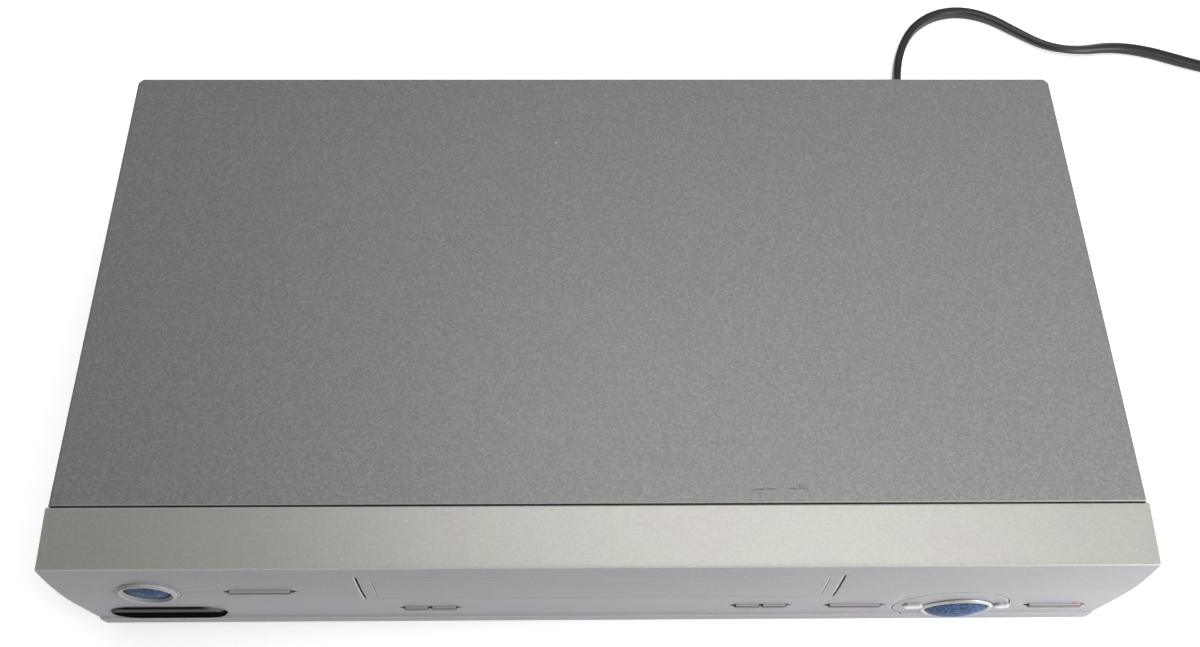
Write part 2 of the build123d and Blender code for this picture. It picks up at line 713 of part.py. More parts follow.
# Power supply on the right: transformer, capacitors and a finned heat sink
with BuildPart() as transformer:
    with BuildSketch(Plane.XY.offset(BOARD_TOP)):
        with Locations((165, 66)):
            Rectangle(34, 40)
    extrude(amount=30)
    with BuildSketch(Plane.XY.offset(BOARD_TOP + 5)):
        with Locations((165, 66)):
            Rectangle(46, 26)
    extrude(amount=20)
    chamfer(transformer.edges().filter_by(Axis.Z), length=1.5)
transformer.part.label = "power_transformer"
export_step(transformer.part, "parts/power_transformer.step")

# Capacitor cans: x, y, radius and height
CAPACITORS = (
    (128.0, 60.0, 9.0, 30.0),
    (128.0, 84.0, 8.0, 25.0),
    (190.0, 20.0, 6.0, 22.0),
    (172.0, 18.0, 5.0, 16.0),
)
with BuildPart() as capacitors:
    for x, y, radius, height in CAPACITORS:
        with BuildSketch(Plane.XY.offset(BOARD_TOP)):
            with Locations((x, y)):
                Circle(radius)
        extrude(amount=height)
capacitors.part.label = "capacitors"
export_step(capacitors.part, "parts/capacitors.step")

with BuildPart() as heat_sink:
    with BuildSketch(Plane.XY.offset(BOARD_TOP)):
        with Locations((150, 5)):
            Rectangle(40, 3)
            with Locations((0, -6)):
                with GridLocations(6.5, 1, 6, 1):
                    Rectangle(1.6, 12)
    extrude(amount=42)
heat_sink.part.label = "heat_sink"
export_step(heat_sink.part, "parts/heat_sink.step")

# Deck plate: pressed steel with turned-down edges, guide tracks and bores for every shaft
DRUM_HOLE_R = 25.0
TRACK_W = 6.0
TRACKS = [
    ((side * GUIDE_START[0], GUIDE_START[1]), (side * GUIDE_END[0], GUIDE_END[1])) for side in (-1, 1)
]
with BuildPart() as deck:
    with BuildSketch(Plane.XY.offset(DECK_Z)):
        with Locations((0, 11)):
            Rectangle(2 * DECK_HALF, 190)
        with Locations((0, DRUM_Y)):
            Circle(DRUM_HOLE_R, mode=Mode.SUBTRACT)
        for start, end in TRACKS:
            run = Vector(end[0] - start[0], end[1] - start[1])
            turn = math.degrees(math.atan2(run.Y, run.X))
            with Locations(((start[0] + end[0]) / 2, (start[1] + end[1]) / 2)):
                SlotCenterToCenter(run.length, TRACK_W, rotation=turn, mode=Mode.SUBTRACT)
        with Locations((-REEL_SPACING / 2, REEL_Y), (REEL_SPACING / 2, REEL_Y)):
            Circle(2.1, mode=Mode.SUBTRACT)
        with Locations((CAPSTAN_X, CAPSTAN_Y), (0, CLUTCH_Y)):
            Circle(2.1, mode=Mode.SUBTRACT)
        with Locations((WORM_WHEEL_X, WORM_WHEEL_Y)):
            Circle(3.1, mode=Mode.SUBTRACT)
        with Locations((0, -68)):
            Rectangle(90, 12, mode=Mode.SUBTRACT)
        with Locations(*DECK_POSTS):
            RegularPolygon(1.8, 8, mode=Mode.SUBTRACT)
    extrude(amount=DECK_T)
    with BuildSketch(Plane.XZ.offset(84)):
        with Locations((0, DECK_Z)):
            Rectangle(2 * DECK_HALF - 30, 6, align=(Align.CENTER, Align.MAX))
    extrude(amount=-1.2)
    # Bearing round the capstan shaft
    with BuildSketch(level_plane(CAPSTAN_X, CAPSTAN_Y, DECK_Z + 0.5)):
        Circle(3.6)
        Circle(1.66, mode=Mode.SUBTRACT)
    extrude(amount=9.5)
    # Staked post that carries the pinch arm
    for radius, height in ((4, PINCH_PLATE_Z - DECK_TOP - 0.2), (1.5, 30)):
        with BuildSketch(level_plane(*PINCH_PIVOT, DECK_TOP - 0.5)):
            Circle(radius)
        extrude(amount=height + 0.5)
deck.part.label = "deck_plate"
export_step(deck.part, "parts/deck_plate.step")

# Lower drum: level base on the deck carrying the fixed, tilted half with its tape ledge
drum_plane = Plane(
    origin=(0, DRUM_Y, DECK_TOP + 4),
    x_dir=(math.cos(math.radians(DRUM_TILT)), 0, math.sin(math.radians(DRUM_TILT))),
    z_dir=(-math.sin(math.radians(DRUM_TILT)), 0, math.cos(math.radians(DRUM_TILT))),
)
drum_axis = Axis(drum_plane.origin, drum_plane.z_dir)
LOWER_DRUM_H = 18.0
with BuildPart() as drum_base:
    with BuildSketch(Plane.XY.offset(DECK_TOP)):
        with Locations((0, DRUM_Y)):
            Circle(29)
            with PolarLocations(30, 3, start_angle=90):
                Rectangle(14, 12)
    extrude(amount=5)
    with BuildSketch(drum_plane.offset(-1)):
        Circle(27)
    extrude(amount=6)
    with BuildSketch(drum_plane.offset(4)):
        Circle(DRUM_R)
    extrude(amount=2.2)
    with BuildSketch(drum_plane.offset(6.2)):
        Circle(DRUM_R - 0.3)
    extrude(amount=LOWER_DRUM_H - 6.2)
    with BuildSketch(drum_plane.offset(-8)):
        Circle(3.06)
    extrude(amount=LOWER_DRUM_H + 10, mode=Mode.SUBTRACT)
drum_base.part.label = "drum_base"
export_step(drum_base.part, "parts/drum_base.step")

# Upper drum: spins with the video heads, whose tips show in windows at its lower rim
with BuildPart() as head_drum:
    with BuildSketch(drum_plane.offset(LOWER_DRUM_H + 0.5)):
        Circle(DRUM_R - 0.3)
        with PolarLocations(DRUM_R - 0.3, 4):
            Rectangle(3, 5, mode=Mode.SUBTRACT)
    extrude(amount=2.4)
    with BuildSketch(drum_plane.offset(LOWER_DRUM_H + 2.9)):
        Circle(DRUM_R - 0.3)
    extrude(amount=12.6)
    top_rim = head_drum.edges().filter_by(GeomType.CIRCLE).sort_by(drum_axis)[-1]
    chamfer(top_rim, length=0.8)
    with BuildSketch(drum_plane.offset(LOWER_DRUM_H + 15.5)):
        Circle(26)
        Circle(13, mode=Mode.SUBTRACT)
    extrude(amount=-2.5, mode=Mode.SUBTRACT)
    with BuildSketch(drum_plane.offset(LOWER_DRUM_H + 15.5)):
        Circle(7)
        with PolarLocations(10, 2):
            RegularPolygon(1.8, 8)
    extrude(amount=1.8)
head_drum.part.label = "head_drum"
export_step(head_drum.part, "parts/head_drum.step")

# Drum shaft and motor rotor under the deck, turning with the upper drum
with BuildPart() as drum_rotor:
    with BuildSketch(drum_plane.offset(-13)):
        Circle(20)
    extrude(amount=5)
    with BuildSketch(drum_plane.offset(-8)):
        Circle(3)
    extrude(amount=LOWER_DRUM_H + 8.5)
drum_rotor.part.label = "drum_rotor"
export_step(drum_rotor.part, "parts/drum_rotor.step")

# Reel tables: geared rim, seat and splined spindle
for name, side in (("supply_reel", -1), ("takeup_reel", 1)):
    reel_x = side * REEL_SPACING / 2
    with BuildPart() as reel:
        with BuildSketch(level_plane(reel_x, REEL_Y, DECK_TOP + 0.8)):
            with BuildLine():
                Polyline(*tooth_points(36, 1.1), close=True)
            make_face()
        extrude(amount=3)
        with BuildSketch(level_plane(reel_x, REEL_Y, DECK_TOP + 3.8)):
            Circle(17)
        extrude(amount=1.6)
        with BuildSketch(level_plane(reel_x, REEL_Y, DECK_TOP + 5.4)):
            Circle(7.5)
            with PolarLocations(7.5, 3):
                Rectangle(3.4, 2)
        extrude(amount=13)
        with BuildSketch(level_plane(reel_x, REEL_Y, DECK_TOP + 18.4)):
            Circle(7.4)
        extrude(amount=3.4, taper=40)
        with BuildSketch(level_plane(reel_x, REEL_Y, DECK_Z - 4)):
            Circle(2)
        extrude(amount=DECK_T + 5)
    reel.part.label = name
    export_step(reel.part, f"parts/{name}.step")

# Capstan: thin shaft, flywheel rotor and belt pulley below the deck
PULLEY_Z = 16.2
with BuildPart() as capstan:
    with BuildSketch(level_plane(CAPSTAN_X, CAPSTAN_Y, PULLEY_Z)):
        Circle(10.6)
    extrude(amount=2.4)
    with BuildSketch(level_plane(CAPSTAN_X, CAPSTAN_Y, PULLEY_Z + 2.4)):
        Circle(24)
    extrude(amount=5)
    with BuildSketch(level_plane(CAPSTAN_X, CAPSTAN_Y, PULLEY_Z + 7.4)):
        Circle(1.6)
    extrude(amount=33)
capstan.part.label = "capstan"
export_step(capstan.part, "parts/capstan.step")

# Clutch: big pulley below the deck, drive gear above it
CLUTCH_R = 20.0
CLUTCH_TEETH = 20
IDLER_TEETH = 22
GEAR_MODULE = 1.1
with BuildPart() as clutch:
    with BuildSketch(level_plane(0, CLUTCH_Y, PULLEY_Z)):
        Circle(CLUTCH_R)
    extrude(amount=2.4)
    with BuildSketch(level_plane(0, CLUTCH_Y, PULLEY_Z + 2.4)):
        Circle(6)
    extrude(amount=6.6)
    with BuildSketch(level_plane(0, CLUTCH_Y, PULLEY_Z + 9)):
        Circle(2)
    extrude(amount=DECK_TOP + 8 - PULLEY_Z - 9)
    with BuildSketch(level_plane(0, CLUTCH_Y, DECK_TOP + 0.8)):
        with BuildLine():
            Polyline(*tooth_points(CLUTCH_TEETH, GEAR_MODULE), close=True)
        make_face()
    extrude(amount=3)
clutch.part.label = "clutch_pulley"
export_step(clutch.part, "parts/clutch_pulley.step")

# Flat belt from the capstan pulley round the clutch pulley
BELT_T = 1.0
BELT_GAP = 0.3
belt_run = Vector(CAPSTAN_X, CAPSTAN_Y - CLUTCH_Y)
belt_turn = math.degrees(math.atan2(belt_run.Y, belt_run.X))
belt_lean = math.acos((CLUTCH_R - 10.6) / belt_run.length)


def belt_loop(gap):
    """Outline of the belt at a distance from both pulleys."""
    big = CLUTCH_R + gap
    small = 10.6 + gap
    cos, sin = math.cos(belt_lean), math.sin(belt_lean)
    far = belt_run.length
    Line((big * cos, big * sin), (far + small * cos, small * sin))
    ThreePointArc((far + small * cos, small * sin), (far + small, 0), (far + small * cos, -small * sin))
    Line((far + small * cos, -small * sin), (big * cos, -big * sin))
    ThreePointArc((big * cos, -big * sin), (-big, 0), (big * cos, big * sin))


belt_plane = Plane(
    origin=(0, CLUTCH_Y, PULLEY_Z + 0.3),
    x_dir=(belt_run.X, belt_run.Y, 0),
    z_dir=(0, 0, 1),
)
with BuildPart() as belt:
    with BuildSketch(belt_plane):
        with BuildLine():
            belt_loop(BELT_GAP + BELT_T)
        make_face()
        with BuildLine():
            belt_loop(BELT_GAP)
        make_face(mode=Mode.SUBTRACT)
    extrude(amount=1.8)
belt.part.label = "drive_belt"
export_step(belt.part, "parts/drive_belt.step")

# Idler: arm that swings about the clutch shaft, and the gear at its end, its teeth clear of the clutch
IDLER_REACH = GEAR_MODULE * (CLUTCH_TEETH + IDLER_TEETH) / 2 + 2.1
with BuildPart() as idler_arm:
    with BuildSketch(level_plane(0, CLUTCH_Y, DECK_TOP + 4.4)):
        with Locations((0, -IDLER_REACH / 2)):
            SlotCenterToCenter(IDLER_REACH, 8, rotation=90)
        Circle(2.1, mode=Mode.SUBTRACT)
    extrude(amount=1.4)
    with BuildSketch(level_plane(0, CLUTCH_Y - IDLER_REACH, DECK_TOP + 0.6)):
        Circle(1.6)
    extrude(amount=4)
idler_arm.part.label = "idler_arm"
export_step(idler_arm.part, "parts/idler_arm.step")

with BuildPart() as idler_gear:
    with BuildSketch(level_plane(0, CLUTCH_Y - IDLER_REACH, DECK_TOP + 0.8)):
        with BuildLine():
            Polyline(*tooth_points(IDLER_TEETH, GEAR_MODULE), close=True)
        make_face()
        Circle(1.7, mode=Mode.SUBTRACT)
    extrude(amount=3)
idler_gear.part.label = "idler_gear"
export_step(idler_gear.part, "parts/idler_gear.step")

# Pinch roller on its arm, at rest clear of the capstan
PINCH_R = 7.0
PINCH_X = 83.5
PINCH_Y = 47.5
with BuildPart() as pinch_arm:
    arm_x, arm_y = PINCH_PIVOT
    arm_run = Vector(PINCH_X - arm_x, PINCH_Y - arm_y)
    arm_turn = math.degrees(math.atan2(arm_run.Y, arm_run.X))
    for height in (PINCH_PLATE_Z, PINCH_PLATE_Z + 18.4):
        with BuildSketch(level_plane((arm_x + PINCH_X) / 2, (arm_y + PINCH_Y) / 2, height)):
            SlotCenterToCenter(arm_run.length, 8, rotation=arm_turn)
        extrude(amount=1.4)
    with BuildSketch(level_plane(arm_x, arm_y, PINCH_PLATE_Z)):
        Circle(3.6)
    extrude(amount=19.8)
    with BuildSketch(level_plane(PINCH_X, PINCH_Y, PINCH_PLATE_Z)):
        Circle(1.5)
    extrude(amount=19.8)
    with BuildSketch(level_plane(arm_x, arm_y, PINCH_PLATE_Z - 1)):
        Circle(1.56)
    extrude(amount=22, mode=Mode.SUBTRACT)
pinch_arm.part.label = "pinch_arm"
export_step(pinch_arm.part, "parts/pinch_arm.step")

with BuildPart() as pinch_roller:
    with BuildSketch(level_plane(PINCH_X, PINCH_Y, PINCH_PLATE_Z + 1.8)):
        Circle(PINCH_R)
        Circle(1.56, mode=Mode.SUBTRACT)
    extrude(amount=16.2)
    chamfer(pinch_roller.edges().filter_by(GeomType.CIRCLE).sort_by(SortBy.RADIUS)[-2:], length=0.4)
pinch_roller.part.label = "pinch_roller"
export_step(pinch_roller.part, "parts/pinch_roller.step")

# Loading guides: carriage in the track, flanged roller post and slanted post
GUIDE_FOOT_Z = DECK_Z - 1.8
for name, side in (("supply_guide", -1), ("takeup_guide", 1)):
    guide_x = side * GUIDE_START[0]
    guide_y = GUIDE_START[1]
    track = Vector(side * (GUIDE_END[0] - GUIDE_START[0]), GUIDE_END[1] - GUIDE_START[1]).normalized()
    slant_plane = Plane(
        origin=(guide_x + side * 1.5, guide_y - 6, DECK_TOP + 3),
        z_dir=(-side * 0.26, 0.2, 1),
    )
    with BuildPart() as guide:
        with BuildSketch(level_plane(guide_x, guide_y, DECK_TOP + 0.3)):
            with Locations((side * 0.6, -3)):
                Rectangle(11, 16)
        extrude(amount=4.2)
        with BuildSketch(level_plane(guide_x, guide_y, GUIDE_FOOT_Z)):
            Circle(2.7)
        extrude(amount=DECK_TOP + 1 - GUIDE_FOOT_Z)
        with BuildSketch(level_plane(guide_x, guide_y, GUIDE_FOOT_Z)):
            RegularPolygon(4.6, 8)
        extrude(amount=1.3)
        with BuildSketch(level_plane(guide_x, guide_y, DECK_TOP + 4.5)):
            Circle(3.4)
        extrude(amount=5)
        with BuildSketch(level_plane(guide_x, guide_y, DECK_TOP + 9.5)):
            Circle(2.5)
        extrude(amount=17)
        with BuildSketch(level_plane(guide_x, guide_y, DECK_TOP + 26.5)):
            Circle(3.4)
        extrude(amount=2)
        with BuildSketch(slant_plane):
            RegularPolygon(1.3, 8)
        extrude(amount=24)
    guide.part.label = name
    export_step(guide.part, f"parts/{name}.step")

# V-stops that the guides press against when the tape is wrapped
with BuildPart() as guide_stops:
    for side in (-1, 1):
        with BuildSketch(level_plane(side * (GUIDE_END[0] + 1), GUIDE_END[1] + 10.5, DECK_TOP)):
            Rectangle(14, 7)
        extrude(amount=18)
        with BuildSketch(level_plane(side * GUIDE_END[0], GUIDE_END[1], DECK_TOP + 5.5)):
            Circle(8.2)
        extrude(amount=20, mode=Mode.SUBTRACT)
guide_stops.part.label = "guide_stops"
export_step(guide_stops.part, "parts/guide_stops.step")

# Fixed heads: full erase head on the supply side, audio and control head on the take-up side
with BuildPart() as erase_head:
    with BuildSketch(level_plane(-66, 56, DECK_TOP)):
        Circle(3)
    extrude(amount=10)
    with BuildSketch(level_plane(-66, 56, DECK_TOP + 10)):
        Rectangle(10, 12, rotation=-20)
    extrude(amount=17)
erase_head.part.label = "erase_head"
export_step(erase_head.part, "parts/erase_head.step")

with BuildPart() as control_head:
    with BuildSketch(level_plane(66, 75, DECK_TOP)):
        Rectangle(16, 12, rotation=-25)
    extrude(amount=3)
    with BuildSketch(level_plane(65, 73, DECK_TOP + 3)):
        Circle(2.4)
    extrude(amount=7)
    with BuildSketch(level_plane(65, 73, DECK_TOP + 10)):
        Rectangle(9, 7, rotation=-25)
    extrude(amount=18)
control_head.part.label = "control_head"
export_step(control_head.part, "parts/control_head.step")

# Loading motor lying across the back, its worm and the wheel with the cam below the deck
with BuildPart() as loading_motor:
    with BuildSketch(Plane.YZ.offset(-99)):
        with Locations((MOTOR_Y, MOTOR_Z)):
            Circle(9.5)
            Rectangle(19.4, 15, mode=Mode.INTERSECT)
    extrude(amount=25)
    with BuildSketch(Plane.YZ.offset(-74)):
        with Locations((MOTOR_Y, MOTOR_Z)):
            Circle(3)
            Circle(1.06, mode=Mode.SUBTRACT)
    extrude(amount=1.4)
    with BuildSketch(Plane.XY.offset(DECK_TOP)):
        with Locations((-83, MOTOR_Y)):
            Rectangle(14, 10)
    extrude(amount=MOTOR_Z - 7 - DECK_TOP)
loading_motor.part.label = "loading_motor"
export_step(loading_motor.part, "parts/loading_motor.step")

with BuildPart() as worm:
    with BuildSketch(Plane.YZ.offset(-73.9)):
        with Locations((MOTOR_Y, MOTOR_Z)):
            Circle(1)
    extrude(amount=19.4)
    for ring in range(5):
        with BuildSketch(Plane.YZ.offset(-71.5 + 3.2 * ring)):
            with Locations((MOTOR_Y, MOTOR_Z)):
                RegularPolygon(3.6, 10)
        extrude(amount=1.1)
    with BuildSketch(Plane.YZ.offset(-72)):
        with Locations((MOTOR_Y, MOTOR_Z)):
            RegularPolygon(2.7, 10)
    extrude(amount=16)
worm.part.label = "loading_worm"
export_step(worm.part, "parts/loading_worm.step")

with BuildPart() as cam_gear:
    with BuildSketch(level_plane(WORM_WHEEL_X, WORM_WHEEL_Y, MOTOR_Z - 2.5)):
        with BuildLine():
            Polyline(*tooth_points(20, 0.9), close=True)
        make_face()
    extrude(amount=5)
    with BuildSketch(level_plane(WORM_WHEEL_X, WORM_WHEEL_Y, 22)):
        Circle(3)
    extrude(amount=MOTOR_Z - 24)
    with BuildSketch(level_plane(WORM_WHEEL_X, WORM_WHEEL_Y, 18.5)):
        Circle(18)
    extrude(amount=4)
    with BuildSketch(level_plane(WORM_WHEEL_X, WORM_WHEEL_Y, 18.5)):
        with Locations((2.5, 0)):
            Circle(12)
            Circle(9.4, mode=Mode.SUBTRACT)
    extrude(amount=1.6, mode=Mode.SUBTRACT)
cam_gear.part.label = "cam_gear"
export_step(cam_gear.part, "parts/cam_gear.step")

# Screws, all alike: three through the hem of the cover, four holding the deck on its posts
SCREW_HEAD_R = 3.4
SCREW_R = 1.3
SCREW_L = 6.0
rear_seats = [Plane(origin=(x, REAR_Y, HEM_SCREW_Z), z_dir=(0, 1, 0)) for x in HEM_SCREW_XS]
deck_seats = [level_plane(x, y, DECK_TOP) for x, y in DECK_POSTS]
with BuildPart() as screws:
    for seat in rear_seats + deck_seats:
        with BuildSketch(seat):
            RegularPolygon(SCREW_HEAD_R, 12)
        extrude(amount=1.8, taper=18)
        with BuildSketch(seat):
            RegularPolygon(SCREW_R, 8)
        extrude(amount=-SCREW_L)
screws.part.label = "screws"
export_step(screws.part, "parts/screws.step")

# Cassette carriage frame: two side plates tied by a bridge, with the L-shaped guide slots
HOLDER_HALF = CASSETTE_W / 2 + 2.1
SLIDER_IN = 97.2
SLIDER_T = 1.5
FRAME_IN = 100.2
FRAME_T = 1.2
PIN_Z = 66.0
PIN_YS = (-74.0, -40.0)
RIB_Z = 80.4
with BuildPart() as carriage_frame:
    for side in (-1, 1):
        with BuildSketch(Plane.YZ.offset(side * (FRAME_IN + FRAME_T / 2) - FRAME_T / 2)):
            with Locations((-23, DECK_TOP)):
                Rectangle(118, 86 - DECK_TOP, align=(Align.CENTER, Align.MIN))
            with Locations(((PIN_YS[0] + PIN_YS[1] + CARRIAGE_TRAVEL) / 2, PIN_Z)):
                Rectangle(PIN_YS[1] - PIN_YS[0] + CARRIAGE_TRAVEL + 3.6, 3.6, mode=Mode.SUBTRACT)
            for pin_y in PIN_YS:
                with Locations((pin_y + CARRIAGE_TRAVEL, PIN_Z - CARRIAGE_DROP / 2)):
                    Rectangle(3.6, CARRIAGE_DROP + 3.6, mode=Mode.SUBTRACT)
            with Locations((-24, RIB_Z)):
                Rectangle(108.4, 3.4, mode=Mode.SUBTRACT)
            with Locations((-28, DECK_TOP + 2)):
                Rectangle(36, 14, align=(Align.CENTER, Align.MIN), mode=Mode.SUBTRACT)
        extrude(amount=FRAME_T)
        with BuildSketch(Plane.XY.offset(DECK_TOP)):
            with Locations((side * (FRAME_IN - 3), -60), (side * (FRAME_IN - 3), 22)):
                Rectangle(8, 8)
        extrude(amount=1.2)
    with BuildSketch(Plane.XY.offset(84.8)):
        with Locations((0, 6)):
            Rectangle(2 * (FRAME_IN + FRAME_T), 44)
            with GridLocations(60, 1, 3, 1):
                Rectangle(44, 26, mode=Mode.SUBTRACT)
    extrude(amount=1.2)
carriage_frame.part.label = "carriage_frame"
export_step(carriage_frame.part, "parts/carriage_frame.step")

# Drive sliders: one each side, ribs in the frame's upper slot, upright slots for the holder's pins
with BuildPart() as sliders:
    for side in (-1, 1):
        with BuildSketch(Plane.YZ.offset(side * (SLIDER_IN + SLIDER_T / 2) - SLIDER_T / 2)):
            with Locations((-57, 42)):
                Rectangle(46, 41, align=(Align.CENTER, Align.MIN))
            for pin_y in PIN_YS:
                with Locations((pin_y, PIN_Z - CARRIAGE_DROP / 2)):
                    Rectangle(3.4, CARRIAGE_DROP + 3.4, mode=Mode.SUBTRACT)
            with Locations((-57, 55)):
                Rectangle(18, 16, mode=Mode.SUBTRACT)
        extrude(amount=SLIDER_T)
        with BuildSketch(Plane.YZ.offset(side * (SLIDER_IN + SLIDER_T - 0.1))):
            with Locations((-74, RIB_Z), (-40, RIB_Z)):
                Rectangle(8, 3)
        extrude(amount=side * (FRAME_IN + FRAME_T - SLIDER_IN - SLIDER_T + 0.1))
sliders.part.label = "carriage_sliders"
export_step(sliders.part, "parts/carriage_sliders.step")

# Cassette holder: walls with inward ledges, slotted top plate with pressed springs, stops and pins
HOLDER_FRONT_Y = -82.0
HOLDER_BACK_Y = LOADED_FRONT_Y - CARRIAGE_TRAVEL + 1
HOLDER_FLOOR_Z = LOADED_Z + CARRIAGE_DROP - 1.2
HOLDER_TOP_Z = HOLDER_FLOOR_Z + CASSETTE_H + 3.5
LEDGE_IN = CASSETTE_W / 2 - 9.5
holder_mid = (HOLDER_FRONT_Y + HOLDER_BACK_Y) / 2
with BuildPart() as holder:
    with BuildSketch(Plane.XZ.offset(-HOLDER_FRONT_Y)):
        with BuildLine():
            Polyline(
                (-LEDGE_IN, HOLDER_FLOOR_Z),
                (-HOLDER_HALF, HOLDER_FLOOR_Z),
                (-HOLDER_HALF, HOLDER_TOP_Z),
                (HOLDER_HALF, HOLDER_TOP_Z),
                (HOLDER_HALF, HOLDER_FLOOR_Z),
                (LEDGE_IN, HOLDER_FLOOR_Z),
                (LEDGE_IN, HOLDER_FLOOR_Z + 1),
                (HOLDER_HALF - 1, HOLDER_FLOOR_Z + 1),
                (HOLDER_HALF - 1, HOLDER_TOP_Z - 1),
                (1 - HOLDER_HALF, HOLDER_TOP_Z - 1),
                (1 - HOLDER_HALF, HOLDER_FLOOR_Z + 1),
                (-LEDGE_IN, HOLDER_FLOOR_Z + 1),
                close=True,
            )
        make_face()
    extrude(amount=HOLDER_FRONT_Y - HOLDER_BACK_Y)
    with BuildSketch(Plane.XY.offset(HOLDER_TOP_Z - 1.5)):
        with Locations((0, holder_mid)):
            Rectangle(56, 34)
        with Locations((-60, holder_mid), (60, holder_mid)):
            Rectangle(36, 26)
            with Locations((0, 3)):
                Rectangle(7, 22, mode=Mode.SUBTRACT)
    extrude(amount=3, mode=Mode.SUBTRACT)
    with BuildSketch(Plane.XZ.offset(-HOLDER_BACK_Y + 1)):
        with Locations((-90, HOLDER_FLOOR_Z), (90, HOLDER_FLOOR_Z)):
            Rectangle(10, 22, align=(Align.CENTER, Align.MIN))
    extrude(amount=-1)
    for side in (-1, 1):
        with BuildSketch(Plane.YZ.offset(side * (HOLDER_HALF - 0.2))):
            with Locations(*[(pin_y, PIN_Z) for pin_y in PIN_YS]):
                Circle(1.5)
        extrude(amount=side * (SLIDER_IN + SLIDER_T + 0.3 - HOLDER_HALF + 0.2))
holder.part.label = "cassette_holder"
export_step(holder.part, "parts/cassette_holder.step")

# Strain relief where the cord leaves the rear panel
exit_x, exit_y, exit_z = CORD_EXIT
with BuildPart() as relief:
    with BuildSketch(Plane.XZ.offset(-PANEL_Y + 2)):
        with Locations((exit_x, exit_z)):
            Rectangle(13.7, 10.7)
    extrude(amount=-PANEL_T - 2)
    with BuildSketch(Plane.XZ.offset(-PANEL_Y - PANEL_T)):
        with Locations((exit_x, exit_z)):
            Rectangle(17, 14)
    extrude(amount=-2.2)
    with BuildSketch(Plane.XZ.offset(-PANEL_Y - PANEL_T - 2.2)):
        with Locations((exit_x, exit_z)):
            Circle(5.2)
    with BuildSketch(Plane.XZ.offset(-exit_y)):
        with Locations((exit_x, exit_z)):
            Circle(3.8)
    loft()
relief.part.label = "cord_strain_relief"
export_step(relief.part, "parts/cord_strain_relief.step")

# Mains cord, free stretch: down from the strain relief, across the table and on to the coil
coil_top = COIL_Y + COIL_R
CORD_ROUTE = [
    CORD_EXIT,
    (168.0, 149.0, CORD_EXIT[2]),
    (168.7, 161.0, 16.6),
    (169.9, 173.5, 10.6),
    (171.6, 186.5, 5.0),
    (173.8, 199.0, CORD_LIE_Z),
    (176.6, 210.0, CORD_LIE_Z),
    (181.2, 221.0, CORD_LIE_Z),
    (188.2, 231.5, CORD_LIE_Z),
    (200.6, 240.5, CORD_LIE_Z),
    (216.4, 243.4, CORD_LIE_Z),
    (232.4, 238.6, CORD_LIE_Z),
    (247.0, 227.4, CORD_LIE_Z),
    (262.4, 216.6, CORD_LIE_Z),
    (280.6, 213.4, CORD_LIE_Z),
    (300.4, 216.4, CORD_LIE_Z),
    (319.6, 213.2, CORD_LIE_Z),
    (338.8, 205.4, CORD_LIE_Z),
    (361.6, 197.6, CORD_LIE_Z),
    (390.0, coil_top, CORD_LIE_Z),
    (COIL_X - CORD_D, coil_top, CORD_LIE_Z),
]


def bend_radii(route):
    """The radius at each inner point: 0.45 of the shorter run over the tangent of half the turn."""
    radii = []
    for before, here, after in zip(route, route[1:], route[2:]):
        first = Vector(*here) - Vector(*before)
        second = Vector(*after) - Vector(*here)
        half_turn = math.radians(first.get_angle(second)) / 2
        radii.append(0.45 * min(first.length, second.length) / math.tan(half_turn))
    return radii


cord_radii = bend_radii(CORD_ROUTE)
print("cord bend radii", [round(radius, 1) for radius in cord_radii])
with BuildPart() as lead:
    with BuildLine() as lead_line:
        FilletPolyline(*CORD_ROUTE, radius=cord_radii)
    with BuildSketch(Plane(origin=lead_line.line @ 0, x_dir=(1, 0, 0), z_dir=lead_line.line % 0)):
        RegularPolygon(CORD_D / 2, 8)
    sweep()
lead.part.label = "mains_lead"
export_step(lead.part, "parts/mains_lead.step")
lead_length = lead_line.wire().length
section_area = 2 * math.sqrt(2) * (CORD_D / 2) ** 2
lead_ratio = lead.part.volume / (section_area * lead_length)
print("lead length", round(lead_length), "volume ratio", round(lead_ratio, 4))

# Mains cord, coiled stretch: a spiral in on the table, a climbing half turn, and a spiral out on top
half_turns = 2 * COIL_TURNS
inward = [COIL_R - COIL_PITCH * n / 2 for n in range(half_turns)]
inner_r = COIL_R - COIL_PITCH * COIL_TURNS
outward = [inner_r + COIL_PITCH * (n + 1) / 2 for n in range(half_turns)]
spot = (COIL_X, COIL_Y + COIL_R, CORD_LIE_Z)
heading = -1
with BuildPart() as coil:
    with BuildLine() as coil_path:
        Line((COIL_X - CORD_D, COIL_Y + COIL_R, CORD_LIE_Z), spot)
        for turn, radius in enumerate(inward + [inner_r] + outward):
            rise = COIL_LAYER if turn == half_turns else 0.0
            bulge = 1 if turn % 2 == 0 else -1
            side_x = COIL_X + bulge * math.hypot(radius, rise / 2)
            middle = (side_x, spot[1] + heading * radius, spot[2] + rise / 2)
            end = (COIL_X, spot[1] + heading * 2 * radius, spot[2] + rise)
            ThreePointArc(spot, middle, end)
            spot = end
            heading = -heading
        tail_end = (COIL_X - TAIL_R, spot[1] - TAIL_R, spot[2])
        tail_in = TAIL_R * math.sqrt(0.5)
        tail_middle = (COIL_X - tail_in, spot[1] - TAIL_R + tail_in, spot[2])
        ThreePointArc(spot, tail_middle, tail_end)
        COIL_END = (tail_end[0], tail_end[1] - CORD_D, tail_end[2])
        Line(tail_end, COIL_END)
    with BuildSketch(Plane(origin=coil_path.line @ 0, x_dir=(0, 1, 0), z_dir=coil_path.line % 0)):
        RegularPolygon(CORD_D / 2, 8)
    sweep()
coil.part.label = "mains_coil"
export_step(coil.part, "parts/mains_coil.step")
coil_wire = coil_path.wire()
coil_length = coil_wire.length
samples = [coil_wire @ (n / 1200) for n in range(1201)]
